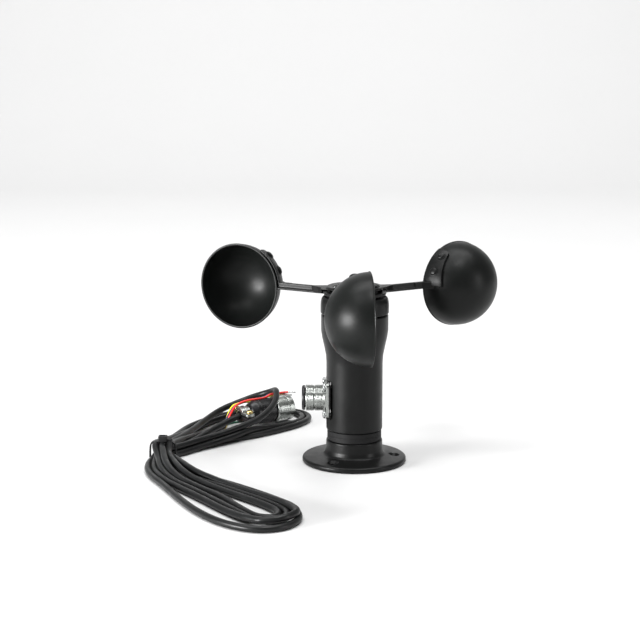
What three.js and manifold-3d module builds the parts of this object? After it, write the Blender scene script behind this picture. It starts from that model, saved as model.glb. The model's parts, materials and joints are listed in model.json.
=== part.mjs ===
// Three-cup wind-speed sensor (cup anemometer) with its unplugged signal cable.
// Millimetres, +Z up. Origin: centre of the underside of the mounting flange.
// The rotor axis is +Z. The four-pin socket points along -X. The cable lies on
// the same surface as the flange, tied in a long open hank.
import * as THREE from 'three';
import { mergeVertices } from 'three/addons/utils/BufferGeometryUtils.js';
import Module from 'manifold-3d';

const wasm = await Module();
wasm.setup();

// ---------------------------------------------------------------- dimensions
const GAP = 0.3;                    // clearance between touching pieces

// rotor
const CUP_R = 26.2;                 // outer radius of a cup at its rim
const CUP_WALL = 1.0;
const CUP_DEPTH = 0.97;             // dome depth as a share of the radius
const CUP_ORBIT = 78.5;             // rotor axis to cup centre
const CUP_Z = 102;                  // height of the cup centres
const ARM_ANGLES = [-84.95, 35.05, 155.05];
const ARM_TOP = 106.0;
const ARM_FOOT_TOP = 102.9;
const ARM_BOTTOM = 101.7;
const ARM_WEB = 2.0;                // thickness of the upright web
const ARM_FOOT = 4.4;               // width of the foot flange
const PLATE_IN = CUP_R + 0.4;       // saddle plate on the back of the cup
const PLATE_OUT = CUP_R + 1.6;
const PLATE_TH0 = 3;                // plate, degrees round the rim from the hub side
const PLATE_TH1 = 58;
const PLATE_PS0 = 2.5;              // plate, degrees behind the rim plane
const RIVETS = [[47.3, 15.5], [23.1, 16.5]];
const RIVET_HEAD_R = 2.4;
const RIVET_SHANK_R = 1.2;

const HUB_R = 17.0;                 // upper hub disc
const HUB_BASE_R = 18.9;            // lower hub disc, just inside the skirt
const HUB_SCREW_ORBIT = 13.6;
const SKIRT_R = 20.5;
const SKIRT_Z0 = 91.6;
const SKIRT_Z1 = 101.5;

// body
const BODY_R = 17.0;
const BELL_R = 20.2;
const BODY_Z0 = 20.3;
const BELL_Z1 = 90.9;
const BODY_BORE = 12.4;
const BELL_BORE = 15.2;
const SHELF_Z = 62.3;
const FLANGE_R = 31.5;
const FLANGE_HOLE_ORBIT = 24.6;
const FLANGE_HOLE_R = 2.15;
const FLANGE_HOLE_ANGLES = [-3, 117, 237];

// bearings 6 x 19 x 6
const BRG_OD = 9.5;
const BRG_ID = 3.0;
const BRG_W = 6.0;
const BRG_Z = [65.1, 90.5];
const BALL_R = 1.6;
const BALL_ORBIT = 6.25;
const BALLS = 7;

// socket, on the -X side
const SOCKET_Z = 39.1;
const SOCKET_FLAT = 14.3;           // distance of the milled flat from the axis
const SOCKET_PLATE = 22.4;
const SOCKET_SCREW_PITCH = 17.0;
const SOCKET_R = 7.9;
const PIN_ORBIT = 2.7;

// cable
const CABLE_D = 4.0;
const WIRE_D = 1.2;
const HANK_H = 10.9;
const TIE_X = -116.5;
const PLUG_X = -73.14;
const PLUG_Y = 76.62;
const PLUG_Z = 9.1;
const PLUG_TURN = 36;               // heading of the plug, degrees from +X
const RING_R = 8.8;

const DEG = Math.PI / 180;

// ---------------------------------------------------------------- materials
const mat = (color, roughness, metalness) => new THREE.MeshStandardMaterial({ color, roughness, metalness });
const M_POWDER = mat(0x1b1c1d, 0.55, 0.2);
const M_CUP = mat(0x1d1e1f, 0.48, 0.0);
const M_STEEL = mat(0xb9bcbd, 0.35, 1.0);
const M_CHROME = mat(0xc9cccd, 0.18, 1.0);
const M_BRASS = mat(0xb08b3e, 0.35, 1.0);
const M_RUBBER = mat(0x101112, 0.8, 0.0);
const M_BAKELITE = mat(0x131314, 0.4, 0.0);
const M_CABLE = mat(0x161718, 0.5, 0.0);
const M_BOARD = mat(0x1d4a2c, 0.5, 0.0);
const M_RED = mat(0xd0261c, 0.45, 0.0);
const M_YELLOW = mat(0xd7b514, 0.45, 0.0);
const M_GREEN = mat(0x2f6b4c, 0.45, 0.0);
const M_BLUE = mat(0x1c2b4a, 0.45, 0.0);

// ---------------------------------------------------------------- geometry helpers
const v2 = (a) => a.map(([x, y]) => new THREE.Vector2(x, y));

// one closed, outward-facing mesh with shared vertices
function clean(geo) {
  let g = geo.clone();
  for (const k of Object.keys(g.attributes)) if (k !== 'position') g.deleteAttribute(k);
  g = mergeVertices(g, 1e-4);
  const p = g.attributes.position;
  const src = g.index.array;
  const out = [];
  let vol = 0;
  const a = new THREE.Vector3(), b = new THREE.Vector3(), c = new THREE.Vector3();
  for (let i = 0; i < src.length; i += 3) {
    const [i0, i1, i2] = [src[i], src[i + 1], src[i + 2]];
    if (i0 === i1 || i1 === i2 || i2 === i0) continue;
    a.fromBufferAttribute(p, i0); b.fromBufferAttribute(p, i1); c.fromBufferAttribute(p, i2);
    vol += a.dot(b.clone().cross(c));
    out.push(i0, i1, i2);
  }
  if (vol < 0) for (let i = 0; i < out.length; i += 3) [out[i + 1], out[i + 2]] = [out[i + 2], out[i + 1]];
  g.setIndex(out);
  return g;
}

function solid(geo) {
  const g = clean(geo);
  return new wasm.Manifold(new wasm.Mesh({
    numProp: 3,
    vertProperties: new Float32Array(g.attributes.position.array),
    triVerts: new Uint32Array(g.index.array),
  }));
}

function geometry(man) {
  const m = man.getMesh();
  const g = new THREE.BufferGeometry();
  g.setAttribute('position', new THREE.BufferAttribute(new Float32Array(m.vertProperties), 3));
  g.setIndex(Array.from(m.triVerts));
  return g;
}

function cut(base, ...tools) {
  let s = solid(base);
  for (const t of tools) s = s.subtract(solid(t));
  return geometry(s);
}

function join(...parts) {
  let s = solid(parts[0]);
  for (const t of parts.slice(1)) s = s.add(solid(t));
  return geometry(s);
}

// body of revolution about Z from (radius, z) pairs; ring = closes on itself
function turned(profile, seg = 24, ring = false) {
  const pts = v2(ring ? [...profile, profile[0]] : profile);
  const g = new THREE.LatheGeometry(pts, seg);
  g.rotateX(Math.PI / 2);
  return g;
}

function rod(r, z0, z1, seg = 12, x = 0, y = 0) {
  const g = new THREE.CylinderGeometry(r, r, z1 - z0, seg);
  g.rotateX(Math.PI / 2);
  g.translate(x, y, (z0 + z1) / 2);
  return g;
}

function block(x0, x1, y0, y1, z0, z1) {
  const g = new THREE.BoxGeometry(x1 - x0, y1 - y0, z1 - z0);
  g.translate((x0 + x1) / 2, (y0 + y1) / 2, (z0 + z1) / 2);
  return g;
}

function plate(outline, z0, z1, holes = []) {
  const s = new THREE.Shape(v2(outline));
  for (const h of holes) s.holes.push(new THREE.Path(v2(h)));
  const g = new THREE.ExtrudeGeometry(s, { depth: z1 - z0, bevelEnabled: false });
  g.translate(0, 0, z0);
  return g;
}

function tube(points, radius, steps, sides = 8) {
  const curve = new THREE.CatmullRomCurve3(points.map((q) => new THREE.Vector3(...q)), false, 'centripetal');
  const ring = [];
  for (let i = 0; i < sides; i++) ring.push([radius * Math.cos((2 * Math.PI * i) / sides), radius * Math.sin((2 * Math.PI * i) / sides)]);
  return new THREE.ExtrudeGeometry(new THREE.Shape(v2(ring)), { steps, extrudePath: curve, bevelEnabled: false });
}

// a smooth closed outline through the given points
function loop(points, n) {
  const c = new THREE.CatmullRomCurve3(points.map(([x, y]) => new THREE.Vector3(x, y, 0)), true, 'centripetal');
  return c.getPoints(n).slice(0, -1).map((q) => [q.x, q.y]);
}

// lathe geometry made about Z is turned to point along -X
const alongMinusX = (g) => { g.rotateY(-Math.PI / 2); return g; };

const model = new THREE.Group();
function add(parent, name, geo, material) {
  const mesh = new THREE.Mesh(clean(geo), material);
  mesh.name = name;
  parent.add(mesh);
  return mesh;
}

// ---------------------------------------------------------------- rotor
const rotor = new THREE.Group();
model.add(rotor);

// direction from the cup centre to a point of the dome, in the arm's own frame:
// x runs outward along the arm, y faces the open side of the cup, z is up
function domeDir(theta, psi) {
  const c = Math.cos(psi * DEG);
  return new THREE.Vector3(-c * Math.cos(theta * DEG), -Math.sin(psi * DEG), c * Math.sin(theta * DEG));
}
function domePoint(theta, psi, rho) {
  const d = domeDir(theta, psi).multiplyScalar(rho);
  d.y *= CUP_DEPTH;
  return d.add(new THREE.Vector3(CUP_ORBIT, 0, CUP_Z));
}
function domeNormal(theta, psi) {
  const d = domeDir(theta, psi);
  d.y /= CUP_DEPTH;
  return d.normalize();
}

function cupGeometry() {
  const pts = [];
  const rings = 6;
  for (let i = 0; i <= rings; i++) {
    const t = (Math.PI / 2) * (i / rings);
    pts.push([CUP_R * Math.sin(t), -CUP_R * CUP_DEPTH * Math.cos(t)]);
  }
  const ri = CUP_R - CUP_WALL;
  for (let i = rings; i >= 0; i--) {
    const t = (Math.PI / 2) * (i / rings);
    pts.push([ri * Math.sin(t), -ri * CUP_DEPTH * Math.cos(t)]);
  }
  const g = new THREE.LatheGeometry(v2(pts), 22);
  g.translate(CUP_ORBIT, 0, CUP_Z);
  return g;
}

function rivetHole(theta, psi) {
  const g = new THREE.CylinderGeometry(RIVET_SHANK_R + GAP + 0.15, RIVET_SHANK_R + GAP + 0.15, 10, 8);
  g.applyQuaternion(new THREE.Quaternion().setFromUnitVectors(new THREE.Vector3(0, 1, 0), domeNormal(theta, psi)));
  const p = domePoint(theta, psi, CUP_R);
  g.translate(p.x, p.y, p.z);
  return g;
}

function rivetGeometry(theta, psi) {
  // distances from the outer face of the cup along the local normal
  const head = PLATE_OUT - CUP_R + 0.35;
  const tail = -(CUP_WALL + 0.65);
  const pts = [
    [0, tail - 1.0], [1.9, tail - 0.8], [1.9, tail], [RIVET_SHANK_R, tail],
    [RIVET_SHANK_R, head], [RIVET_HEAD_R, head], [RIVET_HEAD_R * 0.95, head + 0.25],
    [RIVET_HEAD_R * 0.5, head + 0.75], [0, head + 0.85],
  ];
  const g = new THREE.LatheGeometry(v2(pts), 10);
  g.applyQuaternion(new THREE.Quaternion().setFromUnitVectors(new THREE.Vector3(0, 1, 0), domeNormal(theta, psi)));
  const p = domePoint(theta, psi, CUP_R);
  g.translate(p.x, p.y, p.z);
  return g;
}

// saddle plate that wraps the back of the cup beside the rim
function saddlePlate() {
  const nt = 8, np = 4;
  const grid = (rho) => {
    const rows = [];
    for (let i = 0; i <= nt; i++) {
      const f = i / nt;
      const theta = PLATE_TH0 + (PLATE_TH1 - PLATE_TH0) * f;
      let ps1 = 33 - 11 * f;
      if (i === nt) ps1 -= 2.6;
      if (i === 0) ps1 -= 2.6;
      const row = [];
      for (let j = 0; j <= np; j++) row.push(domePoint(theta, PLATE_PS0 + (ps1 - PLATE_PS0) * (j / np), rho));
      rows.push(row);
    }
    return rows;
  };
  const A = grid(PLATE_OUT), B = grid(PLATE_IN);
  const pos = [];
  const quad = (a, b, c, d) => { for (const q of [a, b, c, a, c, d]) pos.push(q.x, q.y, q.z); };
  for (let i = 0; i < nt; i++) for (let j = 0; j < np; j++) {
    quad(A[i][j], A[i][j + 1], A[i + 1][j + 1], A[i + 1][j]);
    quad(B[i][j], B[i + 1][j], B[i + 1][j + 1], B[i][j + 1]);
  }
  for (let i = 0; i < nt; i++) {
    quad(A[i][0], A[i + 1][0], B[i + 1][0], B[i][0]);
    quad(A[i][np], B[i][np], B[i + 1][np], A[i + 1][np]);
  }
  for (let j = 0; j < np; j++) {
    quad(A[0][j], B[0][j], B[0][j + 1], A[0][j + 1]);
    quad(A[nt][j], A[nt][j + 1], B[nt][j + 1], B[nt][j]);
  }
  const g = new THREE.BufferGeometry();
  g.setAttribute('position', new THREE.BufferAttribute(new Float32Array(pos), 3));
  g.setAttribute('normal', new THREE.BufferAttribute(new Float32Array(pos.length), 3));
  g.setAttribute('uv', new THREE.BufferAttribute(new Float32Array((pos.length / 3) * 2), 2));
  g.computeVertexNormals();
  return mergeVertices(clean(g));
}

function armGeometry() {
  // root tab: a sector clamped between the hub discs
  const tab = [];
  const half = 49;
  for (let a = -half; a <= half; a += 7) tab.push([16.7 * Math.cos(a * DEG), 16.7 * Math.sin(a * DEG)]);
  for (let a = half; a >= -half; a -= 14) tab.push([3.7 * Math.cos(a * DEG), 3.7 * Math.sin(a * DEG)]);
  const tabGeo = plate(tab, 104.7, 106.0);
  const bridge = plate([[15.5, -6.2], [19.9, -6.0], [19.9, 6.0], [15.5, 6.2]], 104.7, 106.0);
  // flared root
  const flare = plate([[19.3, -6.0], [23.0, -3.6], [28.0, -1.5], [28.0, 1.1], [23.0, 3.3], [19.3, 6.0]], 102.4, ARM_TOP);
  // straight bar, web and foot, drifting slightly to the back of the cup
  const x0 = 19.4, x1 = CUP_ORBIT - CUP_R - 0.2;
  const off = -2.4;
  const bar = (w) => [[x0, -w / 2], [x1, off - w / 2], [x1, off + w / 2], [x0, w / 2]];
  const web = plate(bar(ARM_WEB), ARM_FOOT_TOP - 0.4, ARM_TOP);
  const foot = plate(bar(ARM_FOOT), ARM_BOTTOM, ARM_FOOT_TOP);
  const wedge = plate([[x0, -ARM_WEB / 2 - 0.5], [x1, off - ARM_WEB / 2 - 0.5], [x1, off + ARM_WEB / 2 + 0.5], [x0, ARM_WEB / 2 + 0.5]], ARM_FOOT_TOP - 0.4, ARM_FOOT_TOP + 0.6);
  // end boss running into the saddle plate, trimmed to the dome
  const boss = plate([[x1 - 9, off - 1.6 + 0.3], [x1 + 1.6, -9.5], [x1 + 3.2, -9.5], [x1 + 1.2, -1.3], [x1 - 9, off + 1.6]], ARM_BOTTOM, ARM_TOP);
  const ball = new THREE.SphereGeometry(PLATE_IN, 32, 20);
  ball.scale(1, CUP_DEPTH, 1);
  ball.translate(CUP_ORBIT, 0, CUP_Z);
  let s = solid(tabGeo).add(solid(bridge)).add(solid(flare)).add(solid(web)).add(solid(wedge)).add(solid(foot)).add(solid(boss)).subtract(solid(ball));
  s = s.add(solid(saddlePlate()));
  for (const [t, p] of RIVETS) s = s.subtract(solid(rivetHole(t, p)));
  return geometry(s);
}

const armGeo = armGeometry();
let cupSolid = solid(cupGeometry());
for (const [t, p] of RIVETS) cupSolid = cupSolid.subtract(solid(rivetHole(t, p)));
const cupGeo = geometry(cupSolid);

ARM_ANGLES.forEach((angle, i) => {
  const g = new THREE.Group();
  g.rotation.z = angle * DEG;
  rotor.add(g);
  add(g, `cup_${i + 1}`, cupGeo, M_CUP);
  add(g, `arm_${i + 1}`, armGeo, M_POWDER);
  add(g, `cup_rivet_${i + 1}a`, rivetGeometry(...RIVETS[0]), M_POWDER);
  add(g, `cup_rivet_${i + 1}b`, rivetGeometry(...RIVETS[1]), M_POWDER);
});

const hubScrewAt = (i) => {
  const a = (ARM_ANGLES[0] + 60 + 120 * i) * DEG;
  return [HUB_SCREW_ORBIT * Math.cos(a), HUB_SCREW_ORBIT * Math.sin(a)];
};
const hubHoles = (r, z0, z1) => [0, 1, 2].map((i) => rod(r, z0, z1, 10, ...hubScrewAt(i)));

add(rotor, 'hub_base', cut(
  turned([[3.1, 101.8], [15.2, 101.8], [15.2, 102.6], [HUB_BASE_R - 0.5, 102.6], [HUB_BASE_R, 103.1], [HUB_BASE_R, 104.4], [3.1, 104.4]], 26, true),
  ...hubHoles(1.4, 101, 105)), M_POWDER);
add(rotor, 'hub_cap', cut(
  turned([[3.1, 106.3], [HUB_R, 106.3], [HUB_R, 107.1], [16.4, 107.7], [3.1, 107.7]], 22, true),
  ...hubHoles(1.4, 106, 108)), M_POWDER);
for (let i = 0; i < 3; i++) {
  const [x, y] = hubScrewAt(i);
  const g = turned([[0, 102.9], [1.1, 102.9], [1.1, 108.0], [2.3, 108.0], [2.3, 108.6], [1.8, 109.4], [0, 109.5]], 12);
  const s = cut(g, block(-3, 3, -0.3, 0.3, 108.9, 110));
  s.translate(x, y, 0);
  add(rotor, `hub_screw_${i + 1}`, s, M_STEEL);
}
{
  const hex = [];
  for (let i = 0; i < 6; i++) hex.push([4.62 * Math.cos(i * 60 * DEG), 4.62 * Math.sin(i * 60 * DEG)]);
  const nut = join(plate(hex, 108.0, 111.4), turned([[0, 111.0], [3.8, 111.0], [3.8, 112.4], [3.2, 113.9], [2.0, 114.8], [0, 115.2]], 14));
  add(rotor, 'shaft_nut', cut(nut, rod(2.8, 107, 113.2, 12)), M_POWDER);
}
add(rotor, 'rotor_skirt', turned([
  [3.4, SKIRT_Z1], [3.4, 98.9], [17.2, 98.9], [18.4, 97.8], [18.4, SKIRT_Z0], [20.3, SKIRT_Z0], [SKIRT_R, SKIRT_Z0 + 0.3],
  [SKIRT_R, 96.4], [20.3, 98.6], [19.9, 100.3], [19.2, 101.2], [17.9, SKIRT_Z1]], 26, true), M_POWDER);
add(rotor, 'rotor_shaft', turned([
  [0, 54.8], [2.3, 54.8], [2.7, 55.2], [2.7, 71.6], [4.2, 71.6], [4.2, 90.0], [2.7, 90.0], [2.7, 107.3], [2.4, 107.6], [2.4, 112.6], [0, 112.6]], 14), M_STEEL);
{
  const slots = [];
  const outline = [];
  for (let i = 0; i < 24; i++) outline.push([9.3 * Math.cos(i * 15 * DEG), 9.3 * Math.sin(i * 15 * DEG)]);
  for (let i = 0; i < 12; i++) {
    const a = i * 30, h = 6;
    slots.push([[6.6, a - h], [8.4, a - h], [8.4, a + h], [6.6, a + h]].map(([r, t]) => [r * Math.cos(t * DEG), r * Math.sin(t * DEG)]));
  }
  const bore = [];
  for (let i = 0; i < 16; i++) bore.push([3.05 * Math.cos(i * 22.5 * DEG), 3.05 * Math.sin(i * 22.5 * DEG)]);
  add(rotor, 'encoder_disc', plate(outline, 56.0, 56.8, [bore, ...slots]), M_STEEL);
}

// ---------------------------------------------------------------- bearings
['lower', 'upper'].forEach((name, k) => {
  const z0 = BRG_Z[k], z1 = z0 + BRG_W, zc = z0 + BRG_W / 2;
  const groove = (r, dir) => [[r, zc - 1.3], [r + dir * 0.75, zc - 0.5], [r + dir * 0.75, zc + 0.5], [r, zc + 1.3]];
  add(rotor, `${name}_bearing_inner`, turned([[BRG_ID, z0], [5.0, z0], ...groove(5.0, -1), [5.0, z1], [BRG_ID, z1]], 14, true), M_STEEL);
  add(model, `${name}_bearing_outer`, turned([[BRG_OD, z1], [7.5, z1], ...groove(7.5, 1).reverse(), [7.5, z0], [BRG_OD, z0]], 20, true), M_STEEL);
  // cage ring with its balls
  let s = solid(turned([[5.6, zc - 0.6], [6.9, zc - 0.6], [6.9, zc + 0.6], [5.6, zc + 0.6]], 14, true));
  for (let i = 0; i < BALLS; i++) {
    const a = (2 * Math.PI * i) / BALLS;
    const b = new THREE.SphereGeometry(BALL_R - 0.15, 6, 4);
    b.rotateX(Math.PI / 2);
    b.translate(BALL_ORBIT * Math.cos(a), BALL_ORBIT * Math.sin(a), zc);
    s = s.add(solid(b));
  }
  add(model, `${name}_ball_cage`, geometry(s), M_BRASS);
});

// ---------------------------------------------------------------- body
{
  const shell = turned([
    [BODY_BORE, BODY_Z0], [16.6, BODY_Z0], [BODY_R, BODY_Z0 + 0.4], [BODY_R, 61.5], [17.3, 66.0], [18.2, 70.6],
    [19.5, 76.4], [BELL_R, 81.0], [BELL_R, BELL_Z1 - 0.7], [19.6, BELL_Z1],
    [BELL_BORE, BELL_Z1], [BELL_BORE, SHELF_Z], [BODY_BORE, SHELF_Z],
    [BODY_BORE, 48.2], [11.2, 48.2], [11.2, 46.6], [BODY_BORE, 46.6]], 28, true);
  const h = SOCKET_PLATE / 2 + 0.4;
  const flat = block(-30, -SOCKET_FLAT, -20, 20, SOCKET_Z - h, SOCKET_Z + h);
  const bore = alongMinusX(rod(6.3, 5, 25, 20));
  bore.translate(0, 0, SOCKET_Z);
  const taps = [];
  for (const y of [-1, 1]) for (const z of [-1, 1]) {
    const t = alongMinusX(rod(1.5, 8, 25, 8));
    t.translate(0, (y * SOCKET_SCREW_PITCH) / 2, SOCKET_Z + (z * SOCKET_SCREW_PITCH) / 2);
    taps.push(t);
  }
  add(model, 'body_shell', cut(shell, flat, bore, ...taps), M_POWDER);
}
{
  const flange = turned([
    [0, 0], [30.9, 0], [FLANGE_R, 0.6], [FLANGE_R, 2.1], [31.2, 2.8], [30.4, 3.3], [18.9, 4.6], [17.9, 5.4],
    [17.2, 7.6], [17.0, 13.7], [14.6, 13.7], [14.6, 20.0], [12.1, 20.0], [12.1, 30.0], [9.8, 30.0], [9.8, 6.0], [0, 6.0]], 28);
  const holes = FLANGE_HOLE_ANGLES.flatMap((a) => {
    const x = FLANGE_HOLE_ORBIT * Math.cos(a * DEG), y = FLANGE_HOLE_ORBIT * Math.sin(a * DEG);
    const sink = turned([[0, 2.6], [FLANGE_HOLE_R, 2.6], [4.1, 4.5], [4.1, 6], [0, 6]], 12);
    sink.translate(x, y, 0);
    return [rod(FLANGE_HOLE_R, -1, 6, 12, x, y), sink];
  });
  add(model, 'base_flange', cut(flange, ...holes), M_POWDER);
}
add(model, 'base_seal', turned([[14.9, 14.0], [16.1, 14.0], [16.4, 14.3], [16.4, 19.7], [16.1, 20.0], [14.9, 20.0]], 28, true), M_RUBBER);
add(model, 'bearing_carrier', turned([
  [6.5, 71.4], [9.8, 71.4], [9.8, 62.6], [14.9, 62.6], [14.9, 96.5], [14.2, 97.2], [9.8, 97.2], [9.8, 90.2], [6.5, 90.2]], 24, true), M_STEEL);
add(model, 'encoder_board', turned([[0, 48.5], [12.1, 48.5], [12.1, 50.1], [0, 50.1]], 24), M_BOARD);
add(model, 'opto_sensor', cut(block(5.8, 11.6, -3, 3, 50.4, 60.2), block(4, 10.2, -4, 4, 55.2, 57.6)), M_BAKELITE);
add(model, 'inner_harness', tube([[-9.9, 0, SOCKET_Z], [-7.5, 0, SOCKET_Z + 0.4], [-4.6, 0, SOCKET_Z + 2.6], [-3.2, 0, SOCKET_Z + 5.6], [-3.0, 0, 48.1]], 1.3, 7, 8), M_BLUE);

// ---------------------------------------------------------------- socket
{
  const s = new THREE.Group();
  s.position.z = SOCKET_Z;
  model.add(s);
  const at = SOCKET_SCREW_PITCH / 2;
  const half = SOCKET_PLATE / 2;
  const corners = [[-1, 1], [-1, -1], [1, 1], [1, -1]];
  const square = (x0, x1) => {
    // square with clipped corners, across YZ
    const c = 1.6;
    const o = [[-half + c, -half], [half - c, -half], [half, -half + c], [half, half - c], [half - c, half], [-half + c, half], [-half, half - c], [-half, -half + c]];
    return alongMinusX(plate(o, x0, x1));
  };
  const holes = (r) => corners.map(([y, z]) => { const g = alongMinusX(rod(r, 5, 30, 8)); g.translate(0, y * at, z * at); return g; });
  add(s, 'socket_gasket', cut(square(SOCKET_FLAT + 0.3, SOCKET_FLAT + 1.0), alongMinusX(rod(6.4, 5, 30, 20)), ...holes(1.5)), M_RUBBER);
  const barrel = alongMinusX(turned([
    [6.2, 16.4], [8.4, 16.4], [8.4, 18.4], [SOCKET_R, 18.9], [SOCKET_R, 23.4], [7.45, 23.8], [7.45, 24.5], [SOCKET_R, 24.9], [SOCKET_R, 28.9], [7.4, 29.6], [6.2, 29.6]], 24, true));
  add(s, 'socket_shell', cut(join(square(SOCKET_FLAT + 1.3, SOCKET_FLAT + 3.0), barrel), alongMinusX(rod(6.2, 5, 35, 24)), ...holes(1.5)), M_CHROME);
  const pinAt = [0, 1, 2, 3].map((i) => [PIN_ORBIT * Math.cos((45 + 90 * i) * DEG), PIN_ORBIT * Math.sin((45 + 90 * i) * DEG)]);
  const insert = alongMinusX(turned([
    [0, 12.6], [5.8, 12.6], [5.8, 29.9], [7.5, 29.9], [7.7, 30.4], [7.3, 31.5], [6.4, 31.8], [4.9, 31.8], [4.9, 21.5], [0, 21.5]], 20));
  const pinHoles = pinAt.map(([y, z]) => { const g = alongMinusX(rod(1.05, 5, 35, 8)); g.translate(0, y, z); return g; });
  add(s, 'socket_insert', cut(insert, ...pinHoles), M_BAKELITE);
  pinAt.forEach(([y, z], i) => {
    const g = alongMinusX(turned([[0, 10.6], [0.75, 10.6], [0.75, 26.3], [0.45, 27.0], [0, 27.0]], 8));
    g.translate(0, y, z);
    add(s, `socket_pin_${i + 1}`, g, M_BRASS);
  });
  corners.forEach(([y, z], i) => {
    const a = SOCKET_FLAT + 3.3;
    const g = alongMinusX(turned([[0, 10.4], [1.2, 10.4], [1.2, a], [2.3, a], [2.3, a + 0.9], [1.7, a + 1.6], [0, a + 1.8]], 12));
    const c = cut(g, block(-(a + 3), -(a + 1.1), -3, 3, -0.3, 0.3));
    c.translate(0, y * at, z * at);
    add(s, `socket_screw_${i + 1}`, c, M_STEEL);
  });
}

// ---------------------------------------------------------------- cable hank
{
  const lower = loop([
    [-123.5, -9], [-123.4, -27], [-121.5, -39], [-115.2, -53], [-108, -69], [-101.2, -86], [-90.3, -109], [-77.5, -127],
    [-66, -138.5], [-54.5, -143.2], [-42, -140.6], [-32.4, -129], [-31.2, -114], [-37.5, -97], [-48.5, -82], [-62, -67.5],
    [-76, -54.5], [-88.5, -42], [-99, -27], [-107.6, -11]], 44);
  const waist = [TIE_X - 7.0, TIE_X + 7.0];
  const lowerSolid = solid(plate(lower, 0, HANK_H)).subtract(solid(block(-140, -20, -3.3, 20, -1, 20)))
    .add(solid(block(waist[0], waist[1], -14, -3.3, 0, HANK_H)));
  add(model, 'hank_lower', geometry(lowerSolid), M_CABLE);

  const upper = loop([
    [-123.6, 9], [-121, 27], [-117, 45], [-111.2, 65], [-105.3, 78], [-94.5, 97], [-80.5, 110], [-63, 117.6], [-45, 118.4], [-32.5, 110.5],
    [-29.4, 98], [-32.4, 83.5], [-42, 68], [-56, 54], [-71.5, 41], [-89.5, 26.5], [-101.5, 16.5], [-108.2, 7]], 48);
  const hole = loop([
    [-96, 36], [-84, 46.5], [-71, 57.5], [-60.5, 66.5], [-50, 77.5], [-42, 86], [-36.3, 92], [-36.5, 99], [-41.5, 106], [-50, 110.2],
    [-64, 108.5], [-78.5, 100.5], [-86.5, 91], [-86.2, 82], [-84.6, 75], [-83.9, 66], [-86, 58], [-91.5, 48]], 36);
  let s = solid(plate(upper, 0, HANK_H)).subtract(solid(plate(hole, -1, HANK_H + 1)));
  s = s.subtract(solid(block(-140, -20, -20, 7, -1, 20)));
  s = s.add(solid(block(waist[0], waist[1], -3.0, 14, 0, HANK_H)));
  // relief under the tie
  s = s.subtract(solid(block(-140, -100, -2.2, 2.2, -1, 1.4)));
  add(model, 'hank_upper', geometry(s), M_CABLE);
}
{
  // tie: band round the waist, locking head on top
  const y0 = -1.8, y1 = 1.8;
  const band = join(block(TIE_X - 8.4, TIE_X + 8.4, y0, y1, 0.05, 12.2), block(TIE_X - 2.6, TIE_X + 2.6, y0 - 0.7, y1 + 0.7, 11.8, 15.2));
  add(model, 'cable_tie', cut(band, block(TIE_X - 7.35, TIE_X + 7.35, y0 - 2, y1 + 2, 1.05, HANK_H + 0.3)), M_RUBBER);
}

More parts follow.
